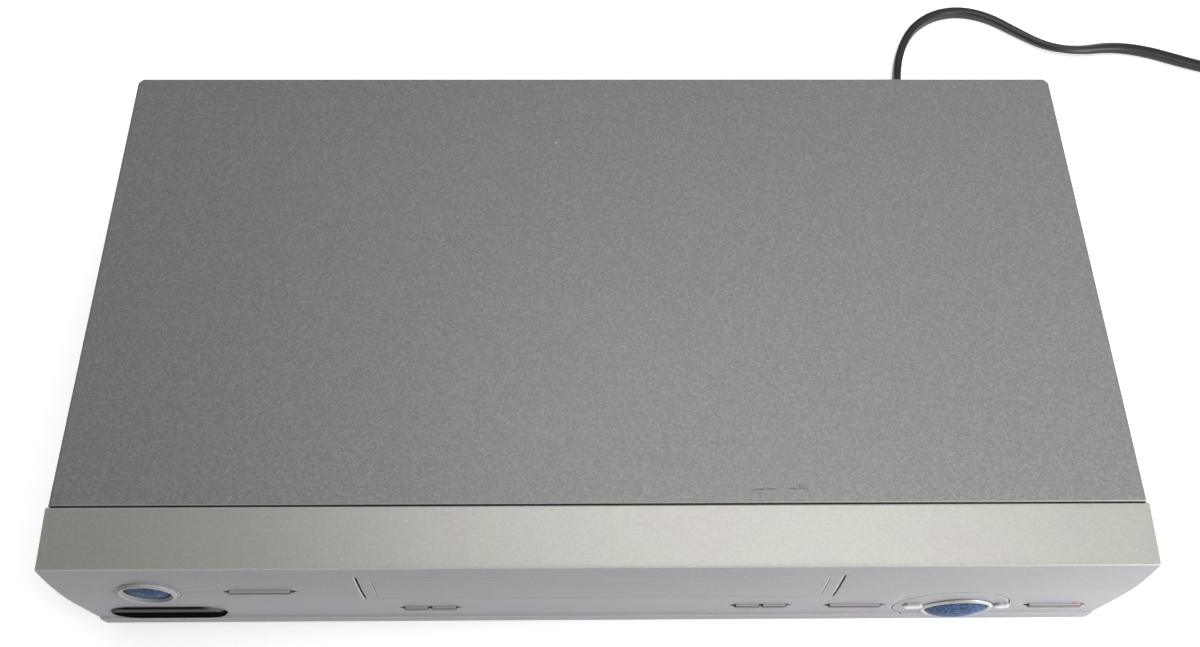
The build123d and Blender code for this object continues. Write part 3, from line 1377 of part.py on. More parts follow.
least = min(
    (samples[a] - samples[b]).length for a in range(0, 1201, 2) for b in range(a + 30, 1201)
)
print("coil length", round(coil_length), "least gap in the coil", round(least - CORD_D, 2))
print("coil volume ratio", round(coil.part.volume / (section_area * coil_length), 4))
print("cord length in all", round(lead_length + coil_length))

# Plug: moulded body tapering to the cord, and its two flat blades
PLUG_LENGTH = 34.0
PLUG_TAPER = 16.0
PLUG_W = 26.0
plug_x, plug_y, plug_z = COIL_END
with BuildPart() as plug:
    with BuildSketch(front_plane(plug_x, plug_y, plug_z)):
        RectangleRounded(10, 8, 2.5)
    with BuildSketch(front_plane(plug_x, plug_y - PLUG_TAPER, plug_z)):
        RectangleRounded(PLUG_W, 2 * plug_z, 5)
    loft()
    with BuildSketch(front_plane(plug_x, plug_y - PLUG_TAPER, plug_z)):
        RectangleRounded(PLUG_W, 2 * plug_z, 5)
    extrude(amount=PLUG_LENGTH - PLUG_TAPER)
    chamfer(plug.faces().sort_by(Axis.Y)[0].edges(), length=1.2)
plug.part.label = "mains_plug"
export_step(plug.part, "parts/mains_plug.step")

with BuildPart() as blades:
    with BuildSketch(front_plane(plug_x, plug_y - PLUG_LENGTH, plug_z)):
        with Locations((-6.35, 0), (6.35, 0)):
            Rectangle(1.5, 6.3)
    extrude(amount=17)
    chamfer(blades.faces().sort_by(Axis.Y)[0].edges().filter_by(Axis.X), length=0.6)
blades.part.label = "plug_blades"
export_step(blades.part, "parts/plug_blades.step")
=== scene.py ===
"""Slim video cassette recorder seen from above and in front, dressed over its CAD frame.

Lengths are in metres, and in millimetres where a docstring says so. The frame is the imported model's:
+Z up, the front facing -Y.
"""

import logging
import math
from dataclasses import dataclass, replace
from enum import Enum
from typing import ClassVar

import bmesh
import bpy
from mathutils import Matrix, Vector


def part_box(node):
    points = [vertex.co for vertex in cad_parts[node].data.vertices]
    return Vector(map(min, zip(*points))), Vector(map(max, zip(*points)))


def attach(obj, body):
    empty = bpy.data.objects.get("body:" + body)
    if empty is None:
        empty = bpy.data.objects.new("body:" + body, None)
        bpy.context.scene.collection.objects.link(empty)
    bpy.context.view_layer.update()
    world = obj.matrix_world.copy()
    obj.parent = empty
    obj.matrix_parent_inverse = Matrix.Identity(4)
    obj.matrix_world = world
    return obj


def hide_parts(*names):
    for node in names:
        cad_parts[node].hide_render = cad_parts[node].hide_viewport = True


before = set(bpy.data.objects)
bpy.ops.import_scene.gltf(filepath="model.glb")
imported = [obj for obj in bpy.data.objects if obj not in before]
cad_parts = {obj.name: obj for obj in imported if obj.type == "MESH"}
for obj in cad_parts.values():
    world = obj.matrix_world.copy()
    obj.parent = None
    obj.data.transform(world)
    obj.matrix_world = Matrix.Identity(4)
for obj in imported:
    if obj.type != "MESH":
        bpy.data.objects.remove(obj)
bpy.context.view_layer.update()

log = logging.getLogger("recorder")

Colour = tuple[float, float, float]
Rgba = tuple[float, float, float, float]
Point = tuple[float, float, float]
Profile = tuple[tuple[float, float], ...]
Sections = tuple[tuple[float, float, float], ...]
Socket = bpy.types.NodeSocket

MM = 0.001
HOUSING = "housing"

# Painted shade in the seams.
SEAM_SHADE: Colour = (62, 59, 62)

# Points nearer to each other than this are one point.
WELD = 0.000002

# Edges that turn by more than this stay sharp.
SHARP = math.radians(28)

# Most of a noise's values lie between these two.
GRAIN_LOW = 0.3
GRAIN_HIGH = 0.7

REARWARD: Point = (0.0, 1.0, 0.0)
FORWARD: Point = (0.0, -1.0, 0.0)
UPWARD: Point = (0.0, 0.0, 1.0)


def linear(colour: Colour) -> Rgba:
    """Turn a display colour into the shader's linear RGBA.

    Args:
        colour: Red, green and blue from 0 to 255.

    Returns:
        Linear red, green, blue and an alpha of one.
    """
    parts = []
    for part in colour:
        share = part / 255
        parts.append(share / 12.92 if share <= 0.04045 else ((share + 0.055) / 1.055) ** 2.4)
    return (parts[0], parts[1], parts[2], 1.0)


def shaded(colour: Colour, share: float) -> Rgba:
    """Scale a display colour, white at most, and turn it linear."""
    return linear(tuple(min(255.0, part * share) for part in colour))


def put(name: str, data: bpy.types.ID) -> bpy.types.Object:
    """Make an object of some data and link it to the scene.

    Args:
        name: The object's name.
        data: Its mesh, curve, lamp or camera.

    Returns:
        The object, at the origin.
    """
    made = bpy.data.objects.new(name, data)
    bpy.context.collection.objects.link(made)
    return made


class Shader:
    """A material with one Principled shader and short calls that add nodes to it."""

    def __init__(self, name: str) -> None:
        """Make the material and keep its node tree at hand.

        Args:
            name: The material's name.
        """
        self.material = bpy.data.materials.new(name)
        self.material.use_nodes = True
        self.tree = self.material.node_tree
        self.surface = self.tree.nodes["Principled BSDF"]
        self.place = self.add("ShaderNodeTexCoord").outputs["Object"]

    def add(self, kind: str, **values: object) -> bpy.types.Node:
        """Add a node and set its properties.

        Args:
            kind: The node's type name.
            **values: Properties of the node, by name.

        Returns:
            The new node.
        """
        node = self.tree.nodes.new(kind)
        for key, value in values.items():
            setattr(node, key, value)
        return node

    def link(self, source: Socket, target: Socket) -> None:
        """Join two sockets."""
        self.tree.links.new(source, target)

    def set(self, **values: object) -> None:
        """Set inputs of the Principled shader, with underscores for the spaces in their names."""
        for key, value in values.items():
            self.surface.inputs[key.replace("_", " ")].default_value = value

    def noise(self, size: float, detail: float = 2.0, stretch: Point = (1.0, 1.0, 1.0)) -> Socket:
        """Add a noise whose grains are about one size.

        Args:
            size: Grain size in metres.
            detail: Noise detail.
            stretch: How much finer the grain is along each axis.

        Returns:
            The factor output.
        """
        mapping = self.add("ShaderNodeMapping")
        mapping.inputs["Scale"].default_value = stretch
        self.link(self.place, mapping.inputs["Vector"])
        grain = self.add("ShaderNodeTexNoise")
        grain.inputs["Scale"].default_value = 1 / size
        grain.inputs["Detail"].default_value = detail
        self.link(mapping.outputs["Vector"], grain.inputs["Vector"])
        return grain.outputs["Fac"]

    def ramp(self, source: Socket, stops: list[tuple[float, Rgba]]) -> Socket:
        """Add a colour ramp.

        Args:
            source: The value that the ramp reads.
            stops: Positions and linear colours, in order.

        Returns:
            The colour output.
        """
        ramp = self.add("ShaderNodeValToRGB")
        elements = ramp.color_ramp.elements
        while len(elements) < len(stops):
            elements.new(0.5)
        for element, (position, colour) in zip(elements, stops):
            element.position = position
            element.color = colour
        self.link(source, ramp.inputs["Fac"])
        return ramp.outputs["Color"]

    def band(self, source: Socket, low: float, high: float, least: float, most: float) -> Socket:
        """Map a value's range onto another one, clamped.

        Args:
            source: The value to map.
            low: Where the input range starts.
            high: Where the input range ends.
            least: The output at low.
            most: The output at high.

        Returns:
            The mapped value.
        """
        spread = self.add("ShaderNodeMapRange")
        for name, value in (("From Min", low), ("From Max", high), ("To Min", least), ("To Max", most)):
            spread.inputs[name].default_value = value
        self.link(source, spread.inputs["Value"])
        return spread.outputs["Result"]

    def blend(self, share: Socket, first: Socket | Rgba, second: Socket | Rgba) -> Socket:
        """Mix two colours by a share.

        Args:
            share: Nought gives the first, one the second.
            first: A colour or a colour socket.
            second: A colour or a colour socket.

        Returns:
            The mixed colour.
        """
        mix = self.add("ShaderNodeMix", data_type="RGBA")
        self.link(share, mix.inputs["Factor"])
        for socket, value in ((mix.inputs[6], first), (mix.inputs[7], second)):
            if isinstance(value, tuple):
                socket.default_value = value
            else:
                self.link(value, socket)
        return mix.outputs[2]

    def flecks(self, size: float) -> Socket:
        """Add a mosaic of small cells, each with its own random value.

        Args:
            size: Cell size in metres.

        Returns:
            The cells' values, nought to one.
        """
        cells = self.add("ShaderNodeTexVoronoi")
        cells.inputs["Scale"].default_value = 1 / size
        self.link(self.place, cells.inputs["Vector"])
        split = self.add("ShaderNodeSeparateColor")
        self.link(cells.outputs["Color"], split.inputs["Color"])
        return split.outputs["Red"]

    def streak(self, mark: "Mark") -> Socket:
        """Add the mask of one scratch or scuff, broken up by noise.

        Args:
            mark: The scratch.

        Returns:
            One on the mark, nought away from it.
        """
        mapping = self.add("ShaderNodeMapping", vector_type="TEXTURE")
        mapping.inputs["Location"].default_value = mark.place
        mapping.inputs["Rotation"].default_value = (0, 0, math.radians(mark.turn))
        mapping.inputs["Scale"].default_value = (mark.length / 2, mark.width / 2, 1.0)
        self.link(self.place, mapping.inputs["Vector"])
        reach = self.add("ShaderNodeVectorMath", operation="LENGTH")
        self.link(mapping.outputs["Vector"], reach.inputs[0])
        inside = self.band(reach.outputs["Value"], low=0.5, high=1.0, least=mark.strength, most=0.0)
        broken = self.band(self.noise(mark.width), low=0.35, high=0.55, least=0.2, most=1.0)
        return self.product(inside, broken)

    def product(self, first: Socket, second: Socket) -> Socket:
        """Multiply two values.

        Args:
            first: A value.
            second: Another.

        Returns:
            Their product.
        """
        times = self.add("ShaderNodeMath", operation="MULTIPLY")
        self.link(first, times.inputs[0])
        self.link(second, times.inputs[1])
        return times.outputs[0]

    def height(self) -> Socket:
        """Read the height above the table.

        Returns:
            The height in metres.
        """
        split = self.add("ShaderNodeSeparateXYZ")
        self.link(self.place, split.inputs["Vector"])
        return split.outputs["Z"]

    def rounded(self, radius: float) -> Socket:
        """Soften the surface's edges.

        Args:
            radius: How far from an edge the softening reaches.

        Returns:
            The softened normal.
        """
        soft = self.add("ShaderNodeBevel", samples=6)
        soft.inputs["Radius"].default_value = radius
        return soft.outputs["Normal"]

    def crevice(self, reach: float, strength: float) -> Socket:
        """Mask the seams and grooves, where the surface is shut in, for painted shade.

        Args:
            reach: How far off a wall still shuts it in.
            strength: The mask's value deep in a groove.

        Returns:
            The mask, nought on open surfaces.
        """
        shut = self.add("ShaderNodeAmbientOcclusion", samples=8)
        shut.inputs["Distance"].default_value = reach
        return self.band(shut.outputs["AO"], low=0.8, high=0.4, least=0.0, most=strength)

    def rim(self, soft: Socket, strength: float) -> Socket:
        """Mask the edges, where the softened normal leaves the surface's own, for a painted highlight.

        Args:
            soft: The softened normal.
            strength: The mask's value on the sharpest edge.

        Returns:
            The mask, nought away from edges.
        """
        plain = self.add("ShaderNodeNewGeometry")
        match = self.add("ShaderNodeVectorMath", operation="DOT_PRODUCT")
        self.link(soft, match.inputs[0])
        self.link(plain.outputs["Normal"], match.inputs[1])
        return self.band(match.outputs["Value"], low=0.995, high=0.88, least=0.0, most=strength)

    def bump(self, height: Socket, depth: float, soft: Socket | None = None) -> None:
        """Give the surface a relief.

        Args:
            height: The height pattern, nought to one.
            depth: The relief's depth in metres.
            soft: The normal that the relief stands on, where edges are softened.
        """
        relief = self.add("ShaderNodeBump")
        if soft:
            self.link(soft, relief.inputs["Normal"])
        relief.inputs["Distance"].default_value = depth
        relief.inputs["Strength"].default_value = 1.0
        self.link(height, relief.inputs["Height"])
        self.link(relief.outputs["Normal"], self.surface.inputs["Normal"])


@dataclass(frozen=True)
class Mark:
    """A scratch or scuff on a level surface."""

    place: Point
    length: float
    width: float
    turn: float
    strength: float
    colour: Colour


@dataclass(frozen=True)
class Zone:
    """A stretch of heights where a finish has a tint of its own."""

    low: float
    high: float
    blur: float
    strength: float
    colour: Colour
    metallic: float | None = None


@dataclass(frozen=True)
class Paint:
    """Sprayed paint or moulded plastic with a fine grain, two close tones and a slight relief."""

    name: str
    colour: Colour
    tone: float = 6.0
    grain: float = 0.0006
    metallic: float = 0.0
    roughness: float = 0.5
    relief: float = 0.00001
    coat: float = 0.0
    specular: float = 0.5
    speckle: float = 0.0
    tints: tuple[Colour, Colour] | None = None
    zones: tuple[Zone, ...] = ()
    marks: tuple[Mark, ...] = ()
    edge: float = 0.0
    edge_highlight: float = 0.0
    seam_shade: float = 0.0
    highlight_streaks: Colour | None = None

    # Grains across a cloud and across a fleck.
    CLOUD: ClassVar[float] = 60.0
    FLECK: ClassVar[float] = 1.3
    # Sizes of the drifting tints, the painted highlight streaks and the painted shade in a seam, and how
    # the streaks run.
    DRIFT: ClassVar[float] = 45 * MM
    STREAK: ClassVar[float] = 1.6 * MM
    SEAM: ClassVar[float] = 1.2 * MM
    STREAK_RUN: ClassVar[Point] = (1.0, 0.25, 2.2)
    # Shares of the colour that dark flecks, light flecks and the painted highlight on edges have.
    DARK_FLECK: ClassVar[float] = 0.72
    LIGHT_FLECK: ClassVar[float] = 1.3
    HIGHLIGHT_SHARE: ClassVar[float] = 1.65
    # How far the roughness goes either way with the grain.
    GLOSS: ClassVar[float] = 0.05

    def sprayed(self, shader: Shader, grain: Socket) -> Socket:
        """Colour the grain in two close tones and even it out in clouds of many grains.

        Args:
            shader: The material's shader.
            grain: The grain's noise.

        Returns:
            The colour.
        """
        cloud = shader.noise(self.grain * self.CLOUD, detail=1.0)
        low = linear(tuple(max(0.0, part - self.tone) for part in self.colour))
        high = linear(tuple(min(255.0, part + self.tone) for part in self.colour))
        fine = shader.ramp(grain, [(GRAIN_LOW, low), (GRAIN_HIGH, high)])
        even = shader.band(cloud, low=0.35, high=0.65, least=0.0, most=0.25)
        return shader.blend(even, fine, linear(self.colour))

    def zoned(self, shader: Shader, colour: Socket) -> Socket:
        """Tint each zone, and make it as metallic as it says.

        Args:
            shader: The material's shader.
            colour: The colour so far.

        Returns:
            The colour with its zones.
        """
        for zone in self.zones:
            height = shader.height()
            foot = (zone.low - zone.blur, zone.low + zone.blur)
            top = (zone.high - zone.blur, zone.high + zone.blur)
            if zone.metallic is not None:
                step = shader.band(height, *foot, self.metallic, zone.metallic)
                shader.link(step, shader.surface.inputs["Metallic"])
            above = shader.band(height, *foot, 0.0, zone.strength)
            below = shader.band(height, *top, 1.0, 0.0)
            colour = shader.blend(shader.product(above, below), colour, linear(zone.colour))
        return colour

    def varied(self, shader: Shader, colour: Socket) -> Socket:
        """Lay the paint's painted highlight streaks, drifting tints and flecks over its colour.

        Args:
            shader: The material's shader.
            colour: The colour so far.

        Returns:
            The colour with its variation.
        """
        # Streaks of painted highlight, lighter than the paint.
        if self.highlight_streaks:
            lines = shader.noise(self.STREAK, stretch=self.STREAK_RUN)
            share = shader.band(lines, low=0.48, high=0.72, least=0.0, most=0.7)
            colour = shader.blend(share, colour, linear(self.highlight_streaks))
        if self.tints:
            drift = shader.noise(self.DRIFT, detail=1.0)
            for side, tint in zip((0.62, 0.38), self.tints):
                share = shader.band(drift, low=0.5, high=side, least=0.0, most=0.5)
                colour = shader.blend(share, colour, linear(tint))
        if self.speckle:
            cells = shader.flecks(self.grain * self.FLECK)
            dark = shader.band(cells, low=0.0, high=0.5, least=self.speckle, most=0.0)
            light = shader.band(cells, low=0.6, high=1.0, least=0.0, most=self.speckle)
            colour = shader.blend(dark, colour, shaded(self.colour, self.DARK_FLECK))
            colour = shader.blend(light, colour, shaded(self.colour, self.LIGHT_FLECK))
        return colour

    def material(self) -> bpy.types.Material:
        """Build the material.

        Returns:
            The material.
        """
        shader = Shader(self.name)
        shader.set(Metallic=self.metallic, Coat_Weight=self.coat, Specular_IOR_Level=self.specular)
        grain = shader.noise(self.grain)
        colour = self.varied(shader, self.zoned(shader, self.sprayed(shader, grain)))
        for mark in self.marks:
            colour = shader.blend(shader.streak(mark), colour, linear(mark.colour))
        soft = shader.rounded(self.edge) if self.edge else None
        # Painted highlight along the edges, lighter than the paint.
        if self.edge_highlight:
            colour = shader.blend(shader.rim(soft, self.edge_highlight), colour, shaded(self.colour, self.HIGHLIGHT_SHARE))
        # Painted shade in the seams and grooves, darker where the surface is more shut in.
        if self.seam_shade:
            colour = shader.blend(shader.crevice(self.SEAM, self.seam_shade), colour, linear(SEAM_SHADE))
        shader.link(colour, shader.surface.inputs["Base Color"])
        least, most = self.roughness - self.GLOSS, self.roughness + self.GLOSS
        rough = shader.band(grain, GRAIN_LOW, GRAIN_HIGH, least, most)
        shader.link(rough, shader.surface.inputs["Roughness"])
        shader.bump(grain, self.relief, soft)
        return shader.material


@dataclass(frozen=True)
class Metal:
    """Bare or plated metal, with rolling marks along one axis."""

    name: str
    colour: Colour
    roughness: float = 0.3
    marks: Point = (0.05, 1.0, 1.0)
    relief: float = 0.000004
    grain: float = 0.6 * MM
    dull: float = 0.93
    smoother: float = 0.06
    rougher: float = 0.08

    def material(self) -> bpy.types.Material:
        """Build the material.

        Returns:
            The material.
        """
        shader = Shader(self.name)
        marks = shader.noise(self.grain, detail=3.0, stretch=self.marks)
        stops = [(GRAIN_LOW, shaded(self.colour, self.dull)), (GRAIN_HIGH, linear(self.colour))]
        shader.link(shader.ramp(marks, stops), shader.surface.inputs["Base Color"])
        least, most = self.roughness - self.smoother, self.roughness + self.rougher
        rough = shader.band(marks, GRAIN_LOW, GRAIN_HIGH, least, most)
        shader.link(rough, shader.surface.inputs["Roughness"])
        shader.set(Metallic=1.0)
        shader.bump(marks, self.relief)
        return shader.material


class Finish(Enum):
    """The recorder's finishes."""

    COVER = Paint(
        "cover_paint",
        (126, 126, 125),
        tone=8.0,
        metallic=0.45,
        relief=0.00002,
        speckle=0.24,
        edge=0.0008,
        edge_highlight=0.7,
        marks=(
            Mark((0.0648, -0.0908, 0.094), 0.0125, 0.0010, 2.0, 0.8, (76, 76, 76)),
            Mark((0.0776, -0.0906, 0.094), 0.0100, 0.0010, 1.0, 0.8, (76, 76, 76)),
            Mark((0.0798, -0.0900, 0.094), 0.0052, 0.0022, -6.0, 0.7, (80, 80, 80)),
            Mark((0.1820, 0.0900, 0.094), 0.0110, 0.0005, 62.0, 0.5, (84, 84, 84)),
            Mark((-0.0185, 0.0790, 0.094), 0.0014, 0.0008, 70.0, 1.0, (214, 214, 212)),
        ),
    )
    FASCIA = Paint(
        "fascia_paint",
        (149, 149, 152),
        tone=5.0,
        grain=0.0005,
        metallic=0.05,
        roughness=0.36,
        relief=0.000008,
        specular=0.06,
        speckle=0.08,
        tints=((156, 151, 151), (150, 153, 149)),
        zones=(
            Zone(0.0915, 0.2, 0.0004, 0.75, (157, 157, 146), metallic=0.5),
            Zone(0.0, 0.0495, 0.0004, 0.8, (153, 149, 157)),
        ),
        edge=0.0008,
        edge_highlight=0.75,
        seam_shade=0.9,
    )
    BRIGHT = Paint(
        "bright_plating",
        (200, 200, 201),
        tone=3.0,
        grain=0.0005,
        metallic=0.4,
        roughness=0.32,
        relief=0.000001,
        specular=0.2,
    )
    RING = Paint(
        "ring_plating",
        (172, 172, 174),
        tone=3.0,
        grain=0.0005,
        metallic=0.4,
        roughness=0.32,
        relief=0.000002,
        edge=0.0005,
        edge_highlight=0.5,
        seam_shade=0.9,
    )
    BLUE = Paint(
        "blue_dome",
        (42, 62, 96),
        grain=0.0009,
        roughness=0.4,
        relief=0.000004,
        specular=0.03,
        # Its lighter streaks are painted highlights.
        highlight_streaks=(118, 146, 182),
    )
    LENS = Paint(
        "smoked_window",
        (18, 18, 20),
        tone=3.0,
        grain=0.0009,
        roughness=0.2,
        relief=0.000002,
        specular=0.0,
        # The grey band high on the window is a painted reflection.
        zones=(Zone(0.0335, 0.0388, 0.0009, 0.85, (112, 112, 115)),),
    )
    BLACK = Paint("black_plastic", (34, 34, 36), tone=5.0)
    WHITE = Paint("white_acetal", (226, 224, 216), tone=5.0, grain=0.0009, roughness=0.4)
    YELLOW = Paint("yellow_insert", (214, 178, 44), grain=0.0009, roughness=0.4)
    RED = Paint("red_insert", (170, 44, 40), grain=0.0009, roughness=0.4)
    RED_PRINT = Paint("red_print", (190, 96, 98), tone=5.0, grain=0.0003, relief=0.000002, specular=0.1)
    BOARD = Paint("board_resin", (158, 122, 72), tone=10.0, grain=0.0015, roughness=0.55)
    RUBBER = Paint("foot_rubber", (26, 26, 27), tone=4.0, roughness=0.75, relief=0.00003)
    JACKET = Paint("cord_vinyl", (22, 22, 23), tone=4.0, grain=0.0008, roughness=0.42)
    GLASS = Paint("display_glass", (70, 84, 84), grain=0.0009, roughness=0.12, relief=0.000002, coat=0.5)
    ZINC = Metal("zinc_sheet", (176, 178, 180), roughness=0.36)
    SPRING = Metal("rolled_steel", (164, 166, 168), roughness=0.28)
    TIN = Metal("tinned_sheet", (188, 188, 184), roughness=0.32)
    NICKEL = Metal("nickel_plate", (206, 202, 194), roughness=0.18)
    BRASS = Metal("blade_brass", (206, 188, 132), roughness=0.26)
    ALUMINIUM = Metal("turned_aluminium", (200, 202, 205), roughness=0.22)
    MOTOR = Metal("plated_can", (150, 151, 153), roughness=0.34)

    def material(self) -> bpy.types.Material:
        """The finish's material, made on its first use."""
        return bpy.data.materials.get(self.value.name) or self.value.material()


DRESS: dict[Finish, tuple[str, ...]] = {
    Finish.COVER: ("top_cover",),
    Finish.FASCIA: ("front_fascia", "cassette_door"),
    Finish.BRIGHT: ("rewind_button", "forward_button"),
    Finish.RING: ("play_ring",),
    Finish.BLUE: ("power_button", "play_button"),
    Finish.LENS: ("display_lens",),
    Finish.ZINC: ("chassis_pan", "rear_panel", "deck_plate", "carriage_frame"),
    Finish.SPRING: (
        "door_spring",
        "carriage_sliders",
        "cassette_holder",
        "idler_arm",
        "pinch_arm",
        "capstan",
    ),
    Finish.TIN: ("tuner_can",),
    Finish.BRASS: ("plug_blades",),
    Finish.ALUMINIUM: ("drum_base", "head_drum", "heat_sink"),
    Finish.MOTOR: ("drum_rotor", "loading_motor", "power_transformer", "erase_head", "control_head"),
    Finish.BOARD: ("front_board", "main_board"),
    Finish.BLACK: ("tact_switches", "phono_block", "capacitors"),
    Finish.WHITE: (
        "supply_reel",
        "takeup_reel",
        "clutch_pulley",
        "idler_gear",
        "cam_gear",
        "loading_worm",
        "supply_guide",
        "takeup_guide",
        "guide_stops",
    ),
    Finish.RUBBER: ("drive_belt", "pinch_roller"),
    Finish.GLASS: ("display_tube",),
}

BARS = (
    "eject_button",
    "tracking_down_button",
    "tracking_up_button",
    "channel_down_button",
    "channel_up_button",
    "stop_button",
    "record_button",
)

# A bar key's front keeps its plating for this far below its top edge, and below that carries a painted
# dark reflection.
BAR_EDGE = 1.7 * MM
BAR_BLUR = 0.15 * MM
BAR_FRONT_REFLECTION: Colour = (70, 62, 62)


def round_shading(piece: bpy.types.Object) -> None:
    """Smooth a piece's shading between its sharp edges.

    Args:
        piece: A mesh object.
    """
    for face in piece.data.polygons:
        face.use_smooth = True
    weld = piece.modifiers.new("weld", "WELD")
    weld.merge_threshold = WELD
    split = piece.modifiers.new("edges", "EDGE_SPLIT")
    split.split_angle = SHARP


def dress(name: str, material: bpy.types.Material) -> None:
    """Give one CAD node its material and round its shading.

    Args:
        name: The node's name.
        material: What it is dressed in.
    """
    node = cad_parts[name]
    node.data.materials.clear()
    node.data.materials.append(material)
    round_shading(node)
    log.info("node %s is %s", name, material.name)


def dress_nodes() -> None:
    """Dress every CAD node but the bar keys in its finish."""
    for finish, names in DRESS.items():
        for name in names:
            dress(name, finish.material())


def dress_bars() -> None:
    """Plate each bar key bright, with a painted dark reflection on its front face below a strip along
    its top edge.
    """
    for name in BARS:
        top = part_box(name)[1][2]
        front = Zone(low=0.0, high=top - BAR_EDGE, blur=BAR_BLUR, strength=0.9, colour=BAR_FRONT_REFLECTION)
        plating = replace(Finish.BRIGHT.value, name=f"{name}_plating", zones=(front,))
        dress(name, plating.material())


class Form:
    """One bmesh that shapes are set into, each about a seat of its own."""

    def __init__(self) -> None:
        """Start an empty form."""
        self.mesh = bmesh.new()

    def seat(self, start: int, place: Point, axis: Point) -> None:
        """Stand the newest vertices, made about the local Z axis, on their seat.

        Args:
            start: How many vertices were there before them.
            place: Where the local origin goes.
            axis: Where the local Z axis points.
        """
        turn = Vector(axis).to_track_quat("Z", "Y").to_matrix().to_4x4()
        verts = list(self.mesh.verts)[start:]
        bmesh.ops.transform(self.mesh, matrix=Matrix.Translation(place) @ turn, verts=verts)

    def turn(self, profile: Profile, place: Point, axis: Point = REARWARD, steps: int = 32) -> None:
        """Spin a profile once round its seat's axis.

        Args:
            profile: Radii and heights, in millimetres.
            place: The seat.
            axis: The seat's axis.
            steps: Facets to the turn.
        """
        start = len(self.mesh.verts)
        verts = [self.mesh.verts.new((radius * MM, 0.0, height * MM)) for radius, height in profile]
        edges = [self.mesh.edges.new(pair) for pair in zip(verts, verts[1:])]
        bmesh.ops.spin(
            self.mesh,
            geom=verts + edges,
            cent=(0, 0, 0),
            axis=(0, 0, 1),
            angle=math.tau,
            steps=steps,
            use_merge=True,
        )
        self.seat(start, place, axis)

    def thread(self, radius: float, proud: float, pitch: float, turns: int, place: Point) -> None:
        """Wind a ridge of triangular section round a barrel that points rearward.

        Args:
            radius: The barrel's radius.
            proud: How far the ridge stands out.
            pitch: Rise to a turn.
            turns: How many turns.
            place: Where the ridge starts, on the barrel's axis.
        """
        start = len(self.mesh.verts)
        steps = 24
        half = 0.4 * pitch
        foot = radius - 0.1 * MM
        section = ((foot, -half), (radius + proud, 0.0), (foot, half))
        verts = [self.mesh.verts.new((out, 0.0, up)) for out, up in section]
        edges = [self.mesh.edges.new(pair) for pair in zip(verts, verts[1:] + verts[:1])]
        bmesh.ops.spin(
            self.mesh,
            geom=verts + edges,
            cent=(0, 0, 0),
            axis=(0, 0, 1),
            dvec=(0, 0, pitch / steps),
            angle=math.tau * turns,
            steps=steps * turns,
            use_merge=False,
        )
        open_edges = [edge for edge in self.mesh.edges if edge.is_boundary]
        bmesh.ops.holes_fill(self.mesh, edges=open_edges, sides=3)
        self.seat(start, place, REARWARD)

    def cross(self, radius: float, height: float, place: Point, axis: Point) -> None:
        """Close a screw head's flat top with a cross recess sunk into it.

        Args:
            radius: The flat top's radius.
            height: The top's height over the seat.
            place: The seat.
            axis: The seat's axis.
        """
        start = len(self.mesh.verts)
        taper, depth = 0.6, 1.2 * MM
        level = Matrix.Translation((0, 0, height))
        ring = bmesh.ops.create_circle(self.mesh, segments=32, radius=radius, matrix=level)
        outer = dict.fromkeys(edge for vert in ring["verts"] for edge in vert.link_edges)
        thin, reach = 0.42 * MM, 0.78 * radius
        quarter = ((thin, reach), (thin, thin), (reach, thin))
        corners = []
        for turn in range(4):
            for x, y in quarter:
                spot = Matrix.Rotation(-turn * math.pi / 2, 4, "Z") @ Vector((x, y, height))
                corners.append(self.mesh.verts.new(spot))
        inner = [self.mesh.edges.new(pair) for pair in zip(corners, corners[1:] + corners[:1])]
        bmesh.ops.triangle_fill(self.mesh, edges=[*outer, *inner], use_beauty=True)
        sunk = bmesh.ops.extrude_edge_only(self.mesh, edges=inner)["geom"]
        low = [part for part in sunk if isinstance(part, bmesh.types.BMVert)]
        rim = [part for part in sunk if isinstance(part, bmesh.types.BMEdge)]
        bmesh.ops.scale(self.mesh, vec=(taper, taper, 1.0), verts=low)
        bmesh.ops.translate(self.mesh, vec=(0, 0, -depth), verts=low)
        bmesh.ops.triangle_fill(self.mesh, edges=rim, use_beauty=True)
        self.seat(start, place, axis)

    def loft(self, sections: Sections, place: Point, axis: Point = REARWARD) -> None:
        """Bridge rounded oblong sections along the seat's axis and close both ends.

        Args:
            sections: Height over the seat, width and depth of each, in millimetres.
            place: The seat.
            axis: The seat's axis.
        """
        start = len(self.mesh.verts)
        squareness = 0.42
        rings = []
        for height, width, depth in sections:
            level = Matrix.Translation((0, 0, height * MM))
            ring = bmesh.ops.create_circle(self.mesh, segments=40, radius=1.0, matrix=level)["verts"]
            for vert in ring:
                across, up = vert.co.x, vert.co.y
                vert.co.x = math.copysign(abs(across) ** squareness, across) * width * MM / 2
                vert.co.y = math.copysign(abs(up) ** squareness, up) * depth * MM / 2
            rings.append(list(dict.fromkeys(edge for vert in ring for edge in vert.link_edges)))
        for first, second in zip(rings, rings[1:]):
            bmesh.ops.bridge_loops(self.mesh, edges=first + second)
        for ring in (rings[0], rings[-1]):
            bmesh.ops.holes_fill(self.mesh, edges=ring, sides=0)
        self.seat(start, place, axis)

    def piece(self, name: str, finish: Finish, slot: str, *nodes: str) -> bpy.types.Object:
        """Make the form a finished piece that rides on the housing.

        Args:
            name: The piece's name.
            finish: Its finish.
            slot: Not used.
            *nodes: The CAD nodes that it stands for.

        Returns:
            The piece.
        """
        bmesh.ops.remove_doubles(self.mesh, verts=self.mesh.verts, dist=WELD)
        bmesh.ops.recalc_face_normals(self.mesh, faces=self.mesh.faces)
        mesh = bpy.data.meshes.new(name)
        self.mesh.to_mesh(mesh)
        self.mesh.free()
        mesh.materials.append(finish.material())
        piece = put(name, mesh)
        round_shading(piece)
        if nodes:
            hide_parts(*nodes)
        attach(piece, HOUSING)
        return piece


